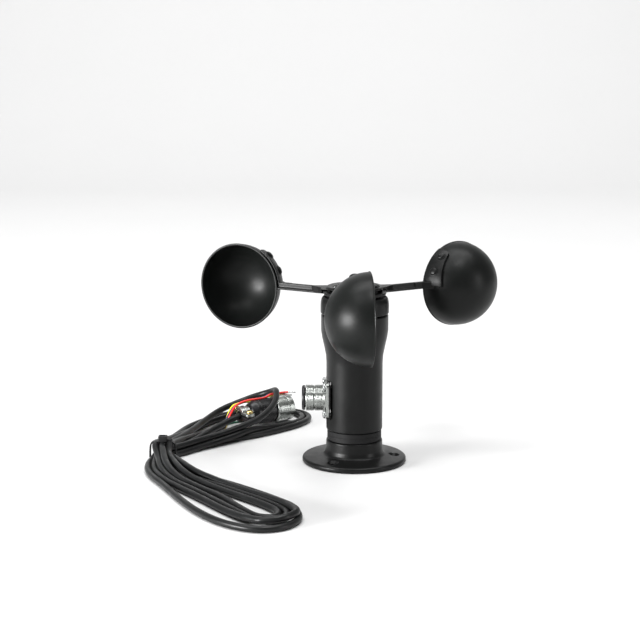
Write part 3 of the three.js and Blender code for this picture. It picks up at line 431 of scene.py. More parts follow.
# ---------------------------------------------------------------- free cable
ROUTE = [   # centre of the cable from the plug to its stripped end, in tenths of a millimetre
    (-684,801,91),(-724,772,91),(-753,736,83),(-788,702,74),(-820,666,65),(-851,629,56),(-880,590,49),(-907,550,42),(-932,508,36),(-955,466,31),
    (-978,422,27),(-1001,379,24),(-1024,336,22),(-1046,292,21),(-1068,248,21),(-1088,204,21),(-1110,160,21),(-1138,119,21),(-1170,82,21),(-1202,45,20),
    (-1207,1,34),(-1219,-45,23),(-1229,-93,21),(-1235,-142,21),(-1236,-191,21),(-1233,-240,21),(-1226,-288,21),(-1215,-336,21),(-1201,-383,20),
    (-1183,-429,20),(-1164,-473,20),(-1143,-518,21),(-1122,-562,21),(-1102,-607,21),(-1082,-652,21),(-1063,-697,20),(-1043,-742,20),(-1024,-787,20),
    (-1004,-832,20),(-984,-876,20),(-963,-921,20),(-942,-965,20),(-920,-1009,20),(-897,-1052,20),(-872,-1094,20),(-846,-1136,20),(-819,-1177,20),
    (-790,-1216,20),(-759,-1254,20),(-725,-1289,20),(-688,-1322,20),(-649,-1351,20),(-606,-1376,20),(-561,-1393,20),(-512,-1400,20),(-464,-1393,20),
    (-420,-1372,20),(-382,-1341,20),(-353,-1302,20),(-332,-1257,20),(-322,-1210,20),(-322,-1161,20),(-330,-1112,20),(-344,-1065,20),(-363,-1020,20),
    (-385,-977,20),(-411,-935,20),(-440,-895,20),(-471,-857,20),(-502,-820,20),(-535,-783,20),(-568,-746,20),(-601,-710,20),(-635,-675,20),(-669,-640,20),
    (-704,-605,20),(-739,-571,20),(-775,-538,20),(-811,-505,20),(-848,-472,20),(-884,-439,20),(-919,-405,20),(-952,-369,21),(-984,-331,21),
    (-1014,-293,21),(-1043,-253,21),(-1069,-211,21),(-1092,-168,21),(-1113,-124,21),(-1136,-80,22),(-1152,-35,26),(-1155,14,28),(-1135,58,25),
    (-1103,96,21),(-1072,133,21),(-1041,171,21),(-1008,207,21),(-973,242,21),(-937,276,21),(-900,308,21),(-862,339,21),(-824,369,21),(-785,399,21),
    (-746,428,21),(-706,457,21),(-666,485,20),(-626,514,20),(-588,544,20),(-551,577,20),(-515,610,20),(-480,644,20),(-446,680,20),(-412,715,20),
    (-380,753,20),(-351,792,20),(-326,834,20),(-304,878,20),(-290,925,20),(-285,973,20),(-291,1022,20),(-309,1067,20),(-340,1106,20),(-378,1136,20),
    (-421,1159,20),(-468,1175,20),(-516,1183,20),(-565,1183,20),(-614,1177,20),(-661,1164,20),(-706,1146,20),(-749,1122,20),(-789,1094,20),(-827,1062,20),
    (-862,1028,21),(-895,991,21),(-925,953,21),(-954,913,21),(-981,872,21),(-1007,831,21),(-1031,788,21),(-1053,744,21),(-1072,699,21),(-1088,653,21),
    (-1102,606,21),(-1115,559,21),(-1128,511,21),(-1142,464,21),(-1156,417,21),(-1168,370,23),(-1180,322,25),(-1191,275,29),(-1200,227,33),(-1209,179,39),
    (-1212,130,45),(-1206,82,53),(-1191,37,62),(-1186,-11,68),(-1192,-56,49),(-1196,-103,37),(-1198,-152,30),(-1197,-201,26),(-1193,-249,24),
    (-1185,-298,22),(-1172,-345,21),(-1155,-391,21),(-1137,-436,21),(-1116,-481,21),(-1093,-524,20),(-1069,-567,20),(-1043,-608,21),(-1016,-649,21),
    (-989,-690,21),(-961,-730,21),(-932,-770,21),(-904,-811,21),(-877,-851,21),(-849,-892,21),(-822,-933,21),(-796,-974,21),(-769,-1015,21),
    (-742,-1056,21),(-714,-1096,22),(-686,-1136,24),(-657,-1176,27),(-628,-1215,30),(-596,-1252,34),(-562,-1287,38),(-526,-1319,42),(-478,-1328,48),
    (-429,-1324,52),(-386,-1302,56),(-355,-1265,57),(-334,-1220,57),(-336,-1172,55),(-350,-1125,51),(-368,-1079,48),(-389,-1035,44),(-414,-993,41),
    (-441,-953,38),(-471,-914,35),(-502,-876,33),(-534,-839,31),(-567,-802,30),(-600,-766,29),(-633,-730,29),(-667,-695,29),(-702,-660,31),(-736,-625,32),
    (-771,-591,35),(-806,-556,37),(-841,-522,41),(-876,-488,44),(-909,-452,48),(-940,-414,51),(-968,-374,55),(-992,-332,57),(-1015,-288,58),
    (-1035,-244,56),(-1055,-199,54),(-1073,-153,51),(-1090,-108,48),(-1107,-62,41),(-1111,-14,33),(-1099,32,26),(-1071,72,22),(-1039,110,21),
    (-1009,148,22),(-976,185,24),(-942,220,27),(-906,253,30),(-870,286,33),(-833,319,38),(-797,351,42),(-761,384,47),(-726,418,52),(-694,455,56),
    (-662,492,57),(-630,529,55),(-598,566,50),(-565,602,45),(-532,638,40),(-500,674,35),(-467,711,31),(-435,747,28),(-404,785,25),(-376,825,22),
    (-353,869,21),(-336,915,21),(-328,963,21),(-332,1012,21),(-352,1056,21),(-385,1092,21),(-427,1118,21),(-473,1134,21),(-521,1142,21),(-570,1142,21),
    (-619,1134,21),(-665,1119,21),(-709,1098,21),(-750,1070,21),(-787,1038,21),(-822,1004,21),(-854,966,21),(-883,927,21),(-911,887,21),(-936,845,21),
    (-960,802,21),(-982,758,21),(-1003,714,21),(-1022,669,21),(-1041,623,23),(-1059,578,25),(-1076,532,28),(-1094,486,31),(-1110,441,36),(-1126,394,41),
    (-1141,348,47),(-1155,302,53),(-1168,255,60),(-1180,208,68),(-1190,161,76),(-1199,113,85),(-1207,66,94),(-1207,18,104),(-1208,-30,99),(-1199,-75,83),
    (-1186,-121,70),(-1175,-167,60),(-1167,-215,52),(-1157,-263,45),(-1145,-310,39),(-1129,-356,35),(-1111,-401,30),(-1091,-446,27),(-1068,-489,24),
    (-1044,-532,22),(-1018,-573,21),(-989,-613,21),(-960,-653,21),(-932,-693,21),(-904,-733,21),(-876,-773,21),(-849,-814,21),(-821,-855,21),
    (-795,-896,21),(-768,-937,21),(-742,-978,21),(-715,-1019,21),(-688,-1060,21),(-661,-1101,21),(-633,-1142,21),(-605,-1182,20),(-576,-1221,20),
    (-534,-1245,20),(-487,-1256,20),(-439,-1249,20),(-404,-1215,20),(-389,-1169,20),(-386,-1120,20),(-404,-1075,20),(-429,-1032,20),(-457,-992,20),
    (-486,-953,20),(-518,-915,20),(-550,-878,20),(-582,-841,20),(-615,-805,20),(-649,-769,20),(-682,-733,20),(-716,-698,20),(-750,-663,21),(-785,-628,21),
    (-819,-593,21),(-853,-557,21),(-886,-522,21),(-919,-485,21),(-951,-448,21),(-983,-410,21),(-1013,-372,21),(-1041,-332,21),(-1067,-290,23),
    (-1092,-248,27),(-1115,-205,32),(-1135,-161,38),(-1150,-115,46),(-1154,-67,57),(-1146,-19,63),(-1135,28,62),(-1107,68,58),(-1074,104,58),
    (-1043,142,58),(-1011,179,59),(-978,215,60),(-943,250,62),(-907,283,65),(-870,315,69),(-832,345,74),(-794,376,79),(-758,408,85),(-722,441,91),
    (-687,475,97),(-653,510,103),(-622,547,110),(-593,585,119),(-566,625,130),(-544,667,142),(-525,711,155),(-511,756,168),(-501,801,183),(-496,848,198),
    (-497,895,212),(-504,943,215),(-520,988,203),(-547,1024,185),(-585,1049,168),(-630,1060,152),(-677,1056,137),(-721,1041,123),(-763,1018,112),
    (-802,989,102),(-837,956,94),(-868,920,86),(-895,879,79),(-918,837,72),(-939,793,66),(-958,748,61),(-975,702,57),(-992,656,53),(-1007,609,50),
    (-1022,563,48),(-1038,516,47),(-1053,470,46),(-1069,423,46),(-1085,377,46),(-1102,331,48),(-1118,285,50),(-1133,238,53),(-1145,191,57),(-1156,143,62),
    (-1166,96,70),(-1168,51,89),(-1167,3,99),(-1165,-46,98),(-1158,-94,97),(-1149,-142,90),(-1141,-189,81),(-1131,-237,73),(-1119,-284,65),
    (-1104,-329,58),(-1086,-375,51),(-1065,-419,45),(-1042,-462,39),(-1017,-504,34),(-990,-544,30),(-961,-583,27),(-929,-621,24),(-898,-658,22),
    (-867,-696,21),(-836,-734,21),(-806,-773,21),(-777,-812,21),(-749,-853,21),(-724,-895,21),(-700,-937,21),(-677,-981,21),(-653,-1024,21),
    (-629,-1067,21),(-604,-1109,21),(-578,-1150,21),(-546,-1186,21),(-501,-1206,21),(-454,-1204,21),(-435,-1160,21),(-439,-1111,21),(-455,-1066,21),
    (-482,-1025,21),(-511,-986,21),(-542,-948,21),(-574,-911,21),(-607,-874,21),(-640,-838,21),(-673,-802,21),(-707,-766,21),(-740,-730,21),
    (-774,-695,22),(-808,-660,23),(-842,-624,25),(-876,-588,29),(-908,-552,33),(-939,-515,37),(-969,-476,42),(-996,-435,48),(-1020,-393,53),
    (-1040,-348,57),(-1059,-303,60),(-1076,-257,63),(-1092,-211,65),(-1107,-164,68),(-1119,-117,73),(-1123,-70,85),(-1122,-24,100),(-1123,25,101),
    (-1128,72,90),(-1123,118,74),(-1112,165,65),(-1100,212,59),(-1085,259,53),(-1070,305,48),(-1052,350,42),(-1033,395,37),(-1012,439,33),(-989,483,29),
    (-966,526,25),(-941,568,23),(-916,610,22),(-890,652,21),(-866,694,21),(-842,737,20),
]
c36, s36 = math.cos(36 * DEG), math.sin(36 * DEG)
PLUG = (-73.14, 76.62, 9.1)

def at_plug(s, t, z):
    return (PLUG[0] + s * c36 - t * s36, PLUG[1] + s * s36 + t * c36, PLUG[2] + z)

def plug_shape(shape):
    return warp(shape, at_plug)

def line(name, points, diameter, slot, nodes, per=4):
    cu = bpy.data.curves.new(name, "CURVE")
    cu.dimensions = "3D"
    cu.bevel_depth = diameter / 2 * MM
    cu.bevel_resolution = 6
    cu.use_fill_caps = True
    pts = catmull(points, per)
    sp = cu.splines.new("POLY")
    sp.points.add(len(pts) - 1)
    for q, p in zip(sp.points, pts):
        q.co = (p[0] * MM, p[1] * MM, p[2] * MM, 1)
    sp.use_smooth = True
    o = bpy.data.objects.new(name, cu)
    bpy.context.scene.collection.objects.link(o)
    cu.materials.append(M[slot])
    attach(o, "root")
    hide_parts(*nodes)
    length = float(np.linalg.norm(np.diff(pts, axis=0), axis=1).sum())
    return o, length

cable, cable_length = line("cable", [(x / 10, y / 10, z / 10) for x, y, z in ROUTE], 4.0, "cable_black", ["hank_lower", "hank_upper", "cable_lead"], 4)
end = np.array(ROUTE[-1]) / 10
back = (np.array(ROUTE[-1]) - np.array(ROUTE[-3])) / 10
back /= np.linalg.norm(back)
side = np.array([-back[1], back[0], 0.0])
side /= np.linalg.norm(side)

def on_plug(s, t, rr):
    return at_plug(s, t, math.sqrt(max(0.0, rr * rr - t * t)))

R1, R2 = 8.6, 9.95
WIRE_D = 1.35
wire_routes = {
    # colour: place in the jacket (across, up), then the way over the plug
    "red": ((-0.75, 0.75), [at_plug(-5.6, 3.4, 0.2), at_plug(-1.8, 3.0, 5.3), at_plug(2.3, 2.6, 7.4), on_plug(8.5, 1.7, R1), on_plug(14, 0.9, R1), on_plug(20, 1.0, R1), on_plug(25.2, 1.8, R2), on_plug(30, 2.6, R2), on_plug(35.8, 2.7, R2), at_plug(39.8, 2.6, 9.2)]),
    "blue": ((0.75, 0.75), [at_plug(-5.6, 5.3, -0.2), at_plug(-1.8, 5.0, 4.4), at_plug(2.3, 4.7, 6.3), on_plug(8.5, 4.0, R1), on_plug(14, 3.4, R1), on_plug(20.5, 3.4, R1), on_plug(25.2, 4.1, R2), on_plug(30, 4.6, R2), on_plug(35.6, 4.7, R2), at_plug(38.8, 4.9, 8.0)]),
    "yellow": ((-0.75, -0.75), [at_plug(-6.8, 6.4, -4.2), at_plug(-3.4, 7.4, 1.8), at_plug(-0.8, 6.9, 5.0), at_plug(2.8, 6.4, 5.9), at_plug(7.5, 6.6, 6.1), on_plug(12.5, 6.4, R1), on_plug(19.0, 6.5, R1), on_plug(24.9, 7.0, R2), on_plug(31.0, 6.9, R2), on_plug(35.6, 6.6, R2), at_plug(38.4, 6.8, 6.6)]),
    "green": ((0.75, -0.75), [at_plug(-6.5, 8.2, -8.0), at_plug(-2.2, 11.6, -8.3), at_plug(3.0, 12.6, -8.3), at_plug(10, 11.6, -8.3), at_plug(17, 11.4, -8.3), at_plug(24, 11.8, -8.3), at_plug(29.5, 12.9, -8.3), at_plug(34.5, 14.6, -8.3)]),
}
wires, tips, wire_lengths = {}, {}, {}
for colour, ((across, up), way) in wire_routes.items():
    root_in = end - back * 4.0 + side * across + np.array([0, 0, up])
    root_out = end + back * 1.6 + side * across * 1.1 + np.array([0, 0, up])
    root_in[2], root_out[2] = max(root_in[2], 0.8), max(root_out[2], 0.8)
    pts = [tuple(root_in), tuple(root_out)] + [(p[0], p[1], max(p[2], 0.72)) for p in way]
    o, length = line("conductor_" + colour, pts, WIRE_D, "wire_" + colour, ["wire_" + colour], 8)
    wires[colour], wire_lengths[colour] = o, length
    a, b = np.array(pts[-2]), np.array(pts[-1])
    d = (b - a) / np.linalg.norm(b - a)
    drop_z = {"red": -0.05, "blue": -0.15, "yellow": -0.25, "green": 0.0}[colour]
    tip = [tuple(b - d * 0.6 + np.array([0, 0, 0])), tuple(b + d * 1.5 + np.array([0, 0, drop_z])), tuple(b + d * 3.2 + np.array([0.2, 0.3, drop_z * 3])), tuple(b + d * 5.4 + np.array([0.7, 0.5, drop_z * 6]))]
    path = catmull(tip, 12)
    strands = []
    for k in range(7):
        if k == 0:
            strands.append(sweep(path, circle(0.17, 8)))
            continue
        w = []
        T = np.gradient(path, axis=0)
        T /= np.linalg.norm(T, axis=1)[:, None]
        for i, p in enumerate(path):
            n1 = np.cross(T[i], [0, 0, 1.0]); n1 /= np.linalg.norm(n1)
            n2 = np.cross(T[i], n1)
            ph = 2 * math.pi * (k / 6) + 0.22 * i
            rr = 0.33 + (0.16 * max(0, i - 26) / 10) * (1 + 0.4 * math.sin(k * 2.3))
            w.append(p + rr * (math.cos(ph) * n1 + math.sin(ph) * n2))
        strands.append(sweep(w, circle(0.165, 8)))
    tips[colour] = make("bare_end_" + colour, merge(*strands), "root", "tinned")

# cut end of the jacket: a thin collar of sheath around the conductors and the filler between them
jacket_end = make("jacket_end", sweep([tuple(end - back * 1.2), tuple(end - back * 0.2), tuple(end + back * 0.25), tuple(end + back * 0.42)],
                                      circle(2.02, 32), taper=lambda u: 1.0 if u < 0.8 else 0.93), "root", "cable_black")

# ---------------------------------------------------------------- cable tie
def tie_outline(grow):
    """Rounded outline across the bundle, x across and z up."""
    base = [(-7.35, 1.05), (7.35, 1.05), (7.35, 5.6), (6.9, 11.2), (-6.9, 11.2), (-7.35, 5.6)]
    p = soften(base, 2.6, 8, closed=True, only=5)
    return inset(p, -grow) if grow else p

inner = tie_outline(0)
n_t = len(inner)
band_section = soften([(-1.8, 0.0), (1.8, 0.0), (1.8, 0.95), (-1.8, 0.95)], 0.25, 3, closed=True)
verts, faces = [], []
outer_n = inset(inner, -1.0)
for i in range(n_t):
    nx, nz = outer_n[i][0] - inner[i][0], outer_n[i][1] - inner[i][1]
    k = math.hypot(nx, nz)
    nx, nz = nx / k, nz / k
    for y, d in band_section:
        verts.append((-116.5 + inner[i][0] + nx * d, y, max(0.05, inner[i][1] + nz * d)))
m_s = len(band_section)
for i in range(n_t):
    for j in range(m_s):
        faces.append((i * m_s + j, i * m_s + (j + 1) % m_s, ((i + 1) % n_t) * m_s + (j + 1) % m_s, ((i + 1) % n_t) * m_s + j))
head = carve(brick(-2.7, 2.7, -2.6, 2.6, 11.7, 15.3, 0.5, 0.7), [brick(-5, 5, -1.95, 1.95, 12.3, 13.6, 0), brick(-1.6, 1.6, -1.5, 1.5, 14.6, 16, 0)])
pawl = brick(-1.3, 0.9, -1.35, 1.35, 13.7, 14.75, 0.15)
tail = slab(soften([(0.2, -1.75), (5.4, -1.7), (6.0, -1.2), (6.0, 1.2), (5.4, 1.7), (0.2, 1.75)], 0.4, 3, closed=True), 12.45, 13.35, 0.2)
teeth = [brick(2.9 + 0.42 * k, 3.1 + 0.42 * k, -1.1, 1.1, 13.25, 13.55, 0.04) for k in range(7)]
tie = make("tie", merge((verts, faces), *[move(s, dx=-116.5) for s in (head, pawl, tail, *teeth)]), "root", "tie_black", ["cable_tie"])

# ---------------------------------------------------------------- screws, shared shapes
def cross_head(r, h, shank_r, shank_l, tool="cross", thread=True):
    """A pan head from z 0 up, its shank below."""
    prof = soften([(0, h), (r * 0.55, h), (r * 0.93, h * 0.72), (r, h * 0.35), (r, 0), (shank_r, 0)], 0.16, 4)
    if thread and shank_l > 1:
        z = -0.2
        while z > -shank_l + 0.4:
            prof += [(shank_r, z), (shank_r - 0.16, z - 0.2)]
            z -= 0.4
        prof += [(shank_r * 0.8, -shank_l), (0, -shank_l)]
    else:
        prof += [(shank_r, -shank_l), (0, -shank_l)]
    s = lathe(prof, 40)
    w = r * 0.115
    if tool == "cross":
        q = r * 0.62
        cut = [slab([(-q, -w), (q, -w), (q, w), (-q, w)], h * 0.35, h + 1, 0), slab([(-w, -q), (w, -q), (w, q), (-w, q)], h * 0.36, h + 1, 0)]
    else:
        cut = [slab([(-r * 2, -w * 1.2), (r * 2, -w * 1.2), (r * 2, w * 1.2), (-r * 2, w * 1.2)], h * 0.5, h + 1, 0)]
    return carve(s, cut)

HUB_SCREW = cross_head(2.3, 1.5, 1.1, 5.1)
SOCKET_SCREW = cross_head(2.3, 1.75, 1.2, 7.0)
CLAMP_SCREW = cross_head(2.2, 1.7, 1.1, 5.8, "slot")

# ---------------------------------------------------------------- plug
trough = [(-10.6, -0.3), (-10.6, -2.1), (-5.4, -2.1)] + [(5.2 * math.cos(a * DEG), 5.2 * math.sin(a * DEG)) for a in range(200, 341, 10)] + \
    [(5.4, -2.1), (10.6, -2.1), (10.6, -0.3), (2.55, -0.3)] + [(2.55 * math.cos(a * DEG), 2.55 * math.sin(a * DEG)) for a in range(350, 189, -10)] + [(-2.55, -0.3)]
shell_prof = soften([(2.6, 6.4), (5.4, 6.4), (6.2, 7.0), (7.6, 9.6), (7.9, 10.4), (7.9, 12.2), (7.55, 12.5), (7.55, 13.0), (7.9, 13.3), (7.9, 23.9), (7.3, 24.8),
                     (6.6, 25.0), (6.6, 35.2), (5.7, 35.2), (5.7, 12.5), (2.6, 10.0)], 0.22, 3, closed=True)
shell = plus_x(lathe(shell_prof, 96, ring=True))
# fine straight grip on the body of the plug
grips = []
for k in range(40):
    a = 360 * k / 40
    g = brick(13.9, 23.2, -0.28, 0.28, 7.7, 8.12, 0.12)
    ca, sa = math.cos(a * DEG), math.sin(a * DEG)
    grips.append(warp(g, lambda x, y, z, ca=ca, sa=sa: (x, y * ca - z * sa, y * sa + z * ca)))
tail_part = yz_out(slab(trough, -1.0, 5.6, 0.22, 2))
neck = brick(5.0, 7.4, -4.5, 4.5, -4.5, -2.6, 0.3)
ear_holes = [move(lathe([(0, -6), (1.4, -6), (1.4, 8), (0, 8)], 24), 2.3, y, 0) for y in (-7.9, 7.9)]
tail_part = carve(tail_part, ear_holes)
plug_shell = make("plug_body", plug_shape(merge(shell, tail_part, neck, *grips)), "root", "bakelite_black", ["plug_shell"])

saddle = [(-10.6, 0.3), (-10.6, 2.1), (-5.3, 2.1)] + [(5.2 * math.cos(a * DEG), 5.2 * math.sin(a * DEG)) for a in range(156, 23, -11)] + \
    [(5.3, 2.1), (10.6, 2.1), (10.6, 0.3), (2.55, 0.3)] + [(2.55 * math.cos(a * DEG), 2.55 * math.sin(a * DEG)) for a in range(12, 169, 12)] + [(-2.55, 0.3)]
ears = [(-1.0, -10.6), (5.6, -10.6), (5.6, 10.6), (-1.0, 10.6)]
clamp_shape = yz_out(slab(saddle, -1.0, 5.6, 0.3, 3))
rim = slab(soften(ears, 3.0, 10, closed=True), -1, 7, 0)
clamp_shape = carve(clamp_shape, [rim], "INTERSECT")
clamp_shape = carve(clamp_shape, ear_holes)
rib = yz_out(slab([(5.0 * math.cos(a * DEG), 5.0 * math.sin(a * DEG)) for a in range(28, 153, 6)] + [(5.75 * math.cos(a * DEG), 5.75 * math.sin(a * DEG)) for a in range(152, 27, -6)], 1.7, 2.9, 0.2))
plug_clamp = make("plug_saddle", plug_shape(merge(clamp_shape, rib)), "root", "chrome", ["plug_clamp"])
for i, y in enumerate((-7.9, 7.9)):
    s = spin(CLAMP_SCREW, 35 + 60 * i)
    make(f"plug_saddle_screw_{i + 1}", plug_shape(move(s, 2.3, y, 2.4)), "root", "brass", [f"plug_clamp_screw_{i + 1}"])

ins = plus_x(lathe(soften([(0, 25.4), (5.35, 25.4), (5.35, 31.0), (5.15, 31.2), (5.15, 33.4), (0, 33.4)], 0.2, 3), 72))
hole_at = [(2.7 * math.cos((45 + 90 * i) * DEG), 2.7 * math.sin((45 + 90 * i) * DEG)) for i in range(4)]
ins = carve(ins, [warp(plus_x(lathe([(0, 28.4), (0.9, 28.4), (0.9, 40), (0, 40)], 24)), lambda x, y, z, a=a, b=b: (x, y + a, z + b)) for a, b in hole_at]
            + [brick(32.2, 34, -0.5, 0.5, 4.3, 6, 0)])
plug_insert = make("plug_core", plug_shape(ins), "root", "bakelite_black", ["plug_insert"])

flutes, ring_out = 48, []
for i in range(flutes):
    for f, r in ((0.0, 8.8), (0.42, 8.8), (0.58, 8.42), (0.84, 8.42)):
        a = 2 * math.pi * (i + f) / flutes
        ring_out.append((r * math.cos(a), r * math.sin(a)))
grip_part = carve(slab(ring_out, 26.8, 34.6, 0.25, 2), [lathe([(0, 20), (7.0, 20), (7.0, 40), (0, 40)], 96)])
rear = lathe(soften([(7.0, 25.4), (7.9, 25.4), (8.4, 26.0), (8.4, 27.0), (7.0, 27.0)], 0.25, 3, closed=True), 96, ring=True)
thread = [(7.0, 34.4), (8.4, 34.4), (8.55, 34.8), (8.55, 38.0), (8.0, 38.6), (7.2, 38.6)]
z = 38.2
while z > 35.2:
    thread += [(6.8, z), (7.05, z - 0.4)]
    z -= 0.8
front = lathe(soften(thread, 0.12, 2, closed=True), 96, ring=True)
ring_shape = plug_shape(plus_x(merge(grip_part, rear, front)))
coupling = make("plug_ring", ring_shape, "coupling_ring", "chrome", ["plug_coupling_ring"])

# ---------------------------------------------------------------- cups and arms
ARM_ANGLES = [-84.95, 35.05, 155.05]
CUP_R, ORBIT, CUP_Z, DEPTH = 26.2, 78.5, 102.0, 0.97

def dome_point(theta, psi, rho):
    c = math.cos(psi * DEG)
    return (ORBIT - rho * c * math.cos(theta * DEG), -DEPTH * rho * math.sin(psi * DEG), CUP_Z + rho * c * math.sin(theta * DEG))

def dome_normal(theta, psi):
    c = math.cos(psi * DEG)
    v = Vector((-c * math.cos(theta * DEG), -math.sin(psi * DEG) / DEPTH, c * math.sin(theta * DEG)))
    return tuple(v.normalized())

prof = []
for k in range(45):
    t = (90 - 1.6) * k / 44 * DEG
    prof.append((CUP_R * math.sin(t) if k else 0.0, -CUP_R * DEPTH * math.cos(t)))
prof += [(26.24, -0.62), (26.5, -0.45), (26.56, -0.22), (26.5, 0.0), (26.3, 0.12), (25.5, 0.12), (25.28, 0.0), (25.2, -0.3)]
for k in range(44, -1, -1):
    t = (90 - 1.6) * k / 44 * DEG
    prof.append(((CUP_R - 1.0) * math.sin(t) if k else 0.0, -(CUP_R - 1.0) * DEPTH * math.cos(t)))
cup = lathe(prof, 128)
cup = warp(cup, lambda x, y, z: (x + ORBIT, z, y + CUP_Z))

RIVETS = [(47.3, 15.5), (23.1, 16.5)]
rivet_prof = soften([(0, -2.65), (1.6, -2.6), (1.9, -2.3), (1.9, -1.65), (1.2, -1.65), (1.2, 1.95), (2.4, 1.95), (2.3, 2.2), (1.9, 2.5), (1.2, 2.72), (0, 2.8)], 0.12, 3)
rivet = lathe(rivet_prof, 40)
washer = lathe(soften([(1.3, 1.62), (2.9, 1.62), (2.9, 1.86), (1.3, 1.86)], 0.1, 2, closed=True), 40, ring=True)

# saddle plate
def plate_shape(rho_in, rho_out, th0, th1, grow=0.0):
    nt, npsi = 48, 26
    rows = []
    for rho in (rho_out, rho_in):
        for i in range(nt + 1):
            f = i / nt
            theta = th0 + (th1 - th0) * f
            ps1 = 33 - 11 * f + grow
            e = min(f, 1 - f) * (th1 - th0)
            ps1 -= 3.2 * max(0.0, 1 - e / 3.2) ** 2
            ps0 = 2.5 - grow + 1.6 * max(0.0, 1 - e / 1.6) ** 2
            for j in range(npsi + 1):
                rows.append(dome_point(theta, ps0 + (ps1 - ps0) * j / npsi, rho))
    w = npsi + 1
    base = (nt + 1) * w
    faces = []
    for i in range(nt):
        for j in range(npsi):
            a = i * w + j
            faces.append((a, a + 1, a + w + 1, a + w))
            faces.append((base + a, base + a + w, base + a + w + 1, base + a + 1))
    for i in range(nt):
        a = i * w
        faces.append((a, a + w, base + a + w, base + a))
        a = i * w + npsi
        faces.append((a, base + a, base + a + w, a + w))
    for j in range(npsi):
        faces.append((j, base + j, base + j + 1, j + 1))
        a = nt * w + j
        faces.append((a, a + 1, base + a + 1, base + a))
    return rows, faces

tab = [(16.7 * math.cos(a * DEG), 16.7 * math.sin(a * DEG)) for a in range(-49, 50, 2)] + [(3.7 * math.cos(a * DEG), 3.7 * math.sin(a * DEG)) for a in range(49, -50, -7)]
x0, x1, off = 19.4, ORBIT - CUP_R - 0.2, -2.4

def bar(w0, w1):
    return [(x0, -w0 / 2), (x1, off - w1 / 2), (x1, off + w1 / 2), (x0, w0 / 2)]

def bossed():
    b = slab([(x1 - 9, off - 1.3), (x1 - 4, off - 2.0), (x1 + 1.6, -9.5), (x1 + 3.2, -9.5), (x1 + 1.2, -1.3), (x1 - 4, off + 1.3), (x1 - 9, off + 1.2)], 101.7, 106.0, 0.3)
    dome = warp(lathe([(26.6 * math.sin(math.pi * k / 60) if 0 < k < 60 else 0.0, 26.6 * math.cos(math.pi * k / 60)) for k in range(61)], 96), lambda x, y, z: (x + ORBIT, z * DEPTH, y + CUP_Z))
    return carve(b, [dome])

arm_parts = merge(
    slab(tab, 104.7, 106.0, 0.2),
    slab([(15.5, -6.2), (19.9, -6.0), (19.9, 6.0), (15.5, 6.2)], 104.7, 106.0, 0.1),
    slab(soften([(19.2, -6.0), (23.0, -3.6), (28.0, -1.5), (28.0, 1.1), (23.0, 3.3), (19.2, 6.0)], 0.8, 4, closed=True), 102.4, 106.0, 0.3),
    slab(bar(2.5, 2.1), 102.3, 106.0, 0.35),
    slab(bar(4.5, 4.3), 101.7, 102.85, 0.35),
    slab(bar(3.2, 2.9), 102.5, 103.3, 0.3),
    bossed(),
    plate_shape(26.6, 27.8, 3, 58),
)
ao = raw("arm_work", arm_parts)
rm = ao.modifiers.new("remesh", "REMESH")
rm.mode = "VOXEL"
rm.voxel_size = 0.24 * MM
rm.use_smooth_shade = True
sm = ao.modifiers.new("smooth", "SMOOTH")
sm.factor = 0.5
sm.iterations = 4
bake(ao)
arm_mesh = ao.data

for i, angle in enumerate(ARM_ANGLES):
    R = Matrix.Rotation(angle * DEG, 4, "Z")
    n = i + 1
    make(f"cup_shell_{n}", spin(cup, angle), "rotor", "cup_black", [f"cup_{n}"], weighted=False, sharp=60)
    me = arm_mesh.copy()
    me.transform(R)
    o = bpy.data.objects.new(f"arm_bar_{n}", me)
    bpy.context.scene.collection.objects.link(o)
    me.materials.clear()
    me.materials.append(M["powder_black"])
    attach(o, "rotor")
    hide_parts(f"arm_{n}")
    for k, (t, p) in zip("ab", RIVETS):
        s = merge(oriented(rivet, dome_normal(t, p), dome_point(t, p, CUP_R)), oriented(washer, dome_normal(t, p), dome_point(t, p, CUP_R)))
        make(f"rivet_{n}{k}", spin(s, angle), "rotor", "powder_black", [f"cup_rivet_{n}{k}"], weighted=False, sharp=50)
drop(ao)

# ---------------------------------------------------------------- hub, skirt, shaft
holes = lambda z0, z1, r=1.4: [move(lathe([(0, z0), (r, z0), (r, z1), (0, z1)], 32), 13.6 * math.cos((-24.95 + 120 * i) * DEG), 13.6 * math.sin((-24.95 + 120 * i) * DEG), 0) for i in range(3)]
make("hub_lower_disc", carve(lathe(soften([(3.1, 101.8), (15.2, 101.8), (15.2, 102.6), (18.4, 102.6), (18.9, 103.1), (18.9, 104.4), (3.1, 104.4)], 0.25, 3, closed=True), 128, ring=True), holes(101, 105)), "rotor", "powder_black", ["hub_base"])
make("hub_top_disc", carve(lathe(soften([(3.1, 106.3), (17.0, 106.3), (17.0, 107.1), (16.4, 107.7), (11.2, 107.7), (10.9, 107.45), (6.6, 107.45), (6.3, 107.7), (3.1, 107.7)], 0.22, 3, closed=True), 128, ring=True), holes(106, 108)), "rotor", "powder_black", ["hub_cap"])
for i in range(3):
    a = (-24.95 + 120 * i) * DEG
    make(f"hub_bolt_{i + 1}", move(spin(HUB_SCREW, 20 + 37 * i), 13.6 * math.cos(a), 13.6 * math.sin(a), 108.0), "rotor", "black_screw", [f"hub_screw_{i + 1}"])
hexa = [(4.62 * math.cos(k * 60 * DEG), 4.62 * math.sin(k * 60 * DEG)) for k in range(6)]
chamfer = lathe([(0, 107.9), (4.2, 107.9), (4.75, 108.3), (4.75, 110.9), (4.1, 111.5), (0, 111.5)], 64)
nut = merge(carve(slab(hexa, 108.0, 111.4, 0), [chamfer], "INTERSECT"), lathe(soften([(0, 110.9), (3.8, 110.9), (3.8, 112.4), (3.2, 113.9), (2.0, 114.8), (0, 115.2)], 1.0, 6, only=3), 64))
make("dome_nut", nut, "rotor", "powder_black", ["shaft_nut"], sharp=25)
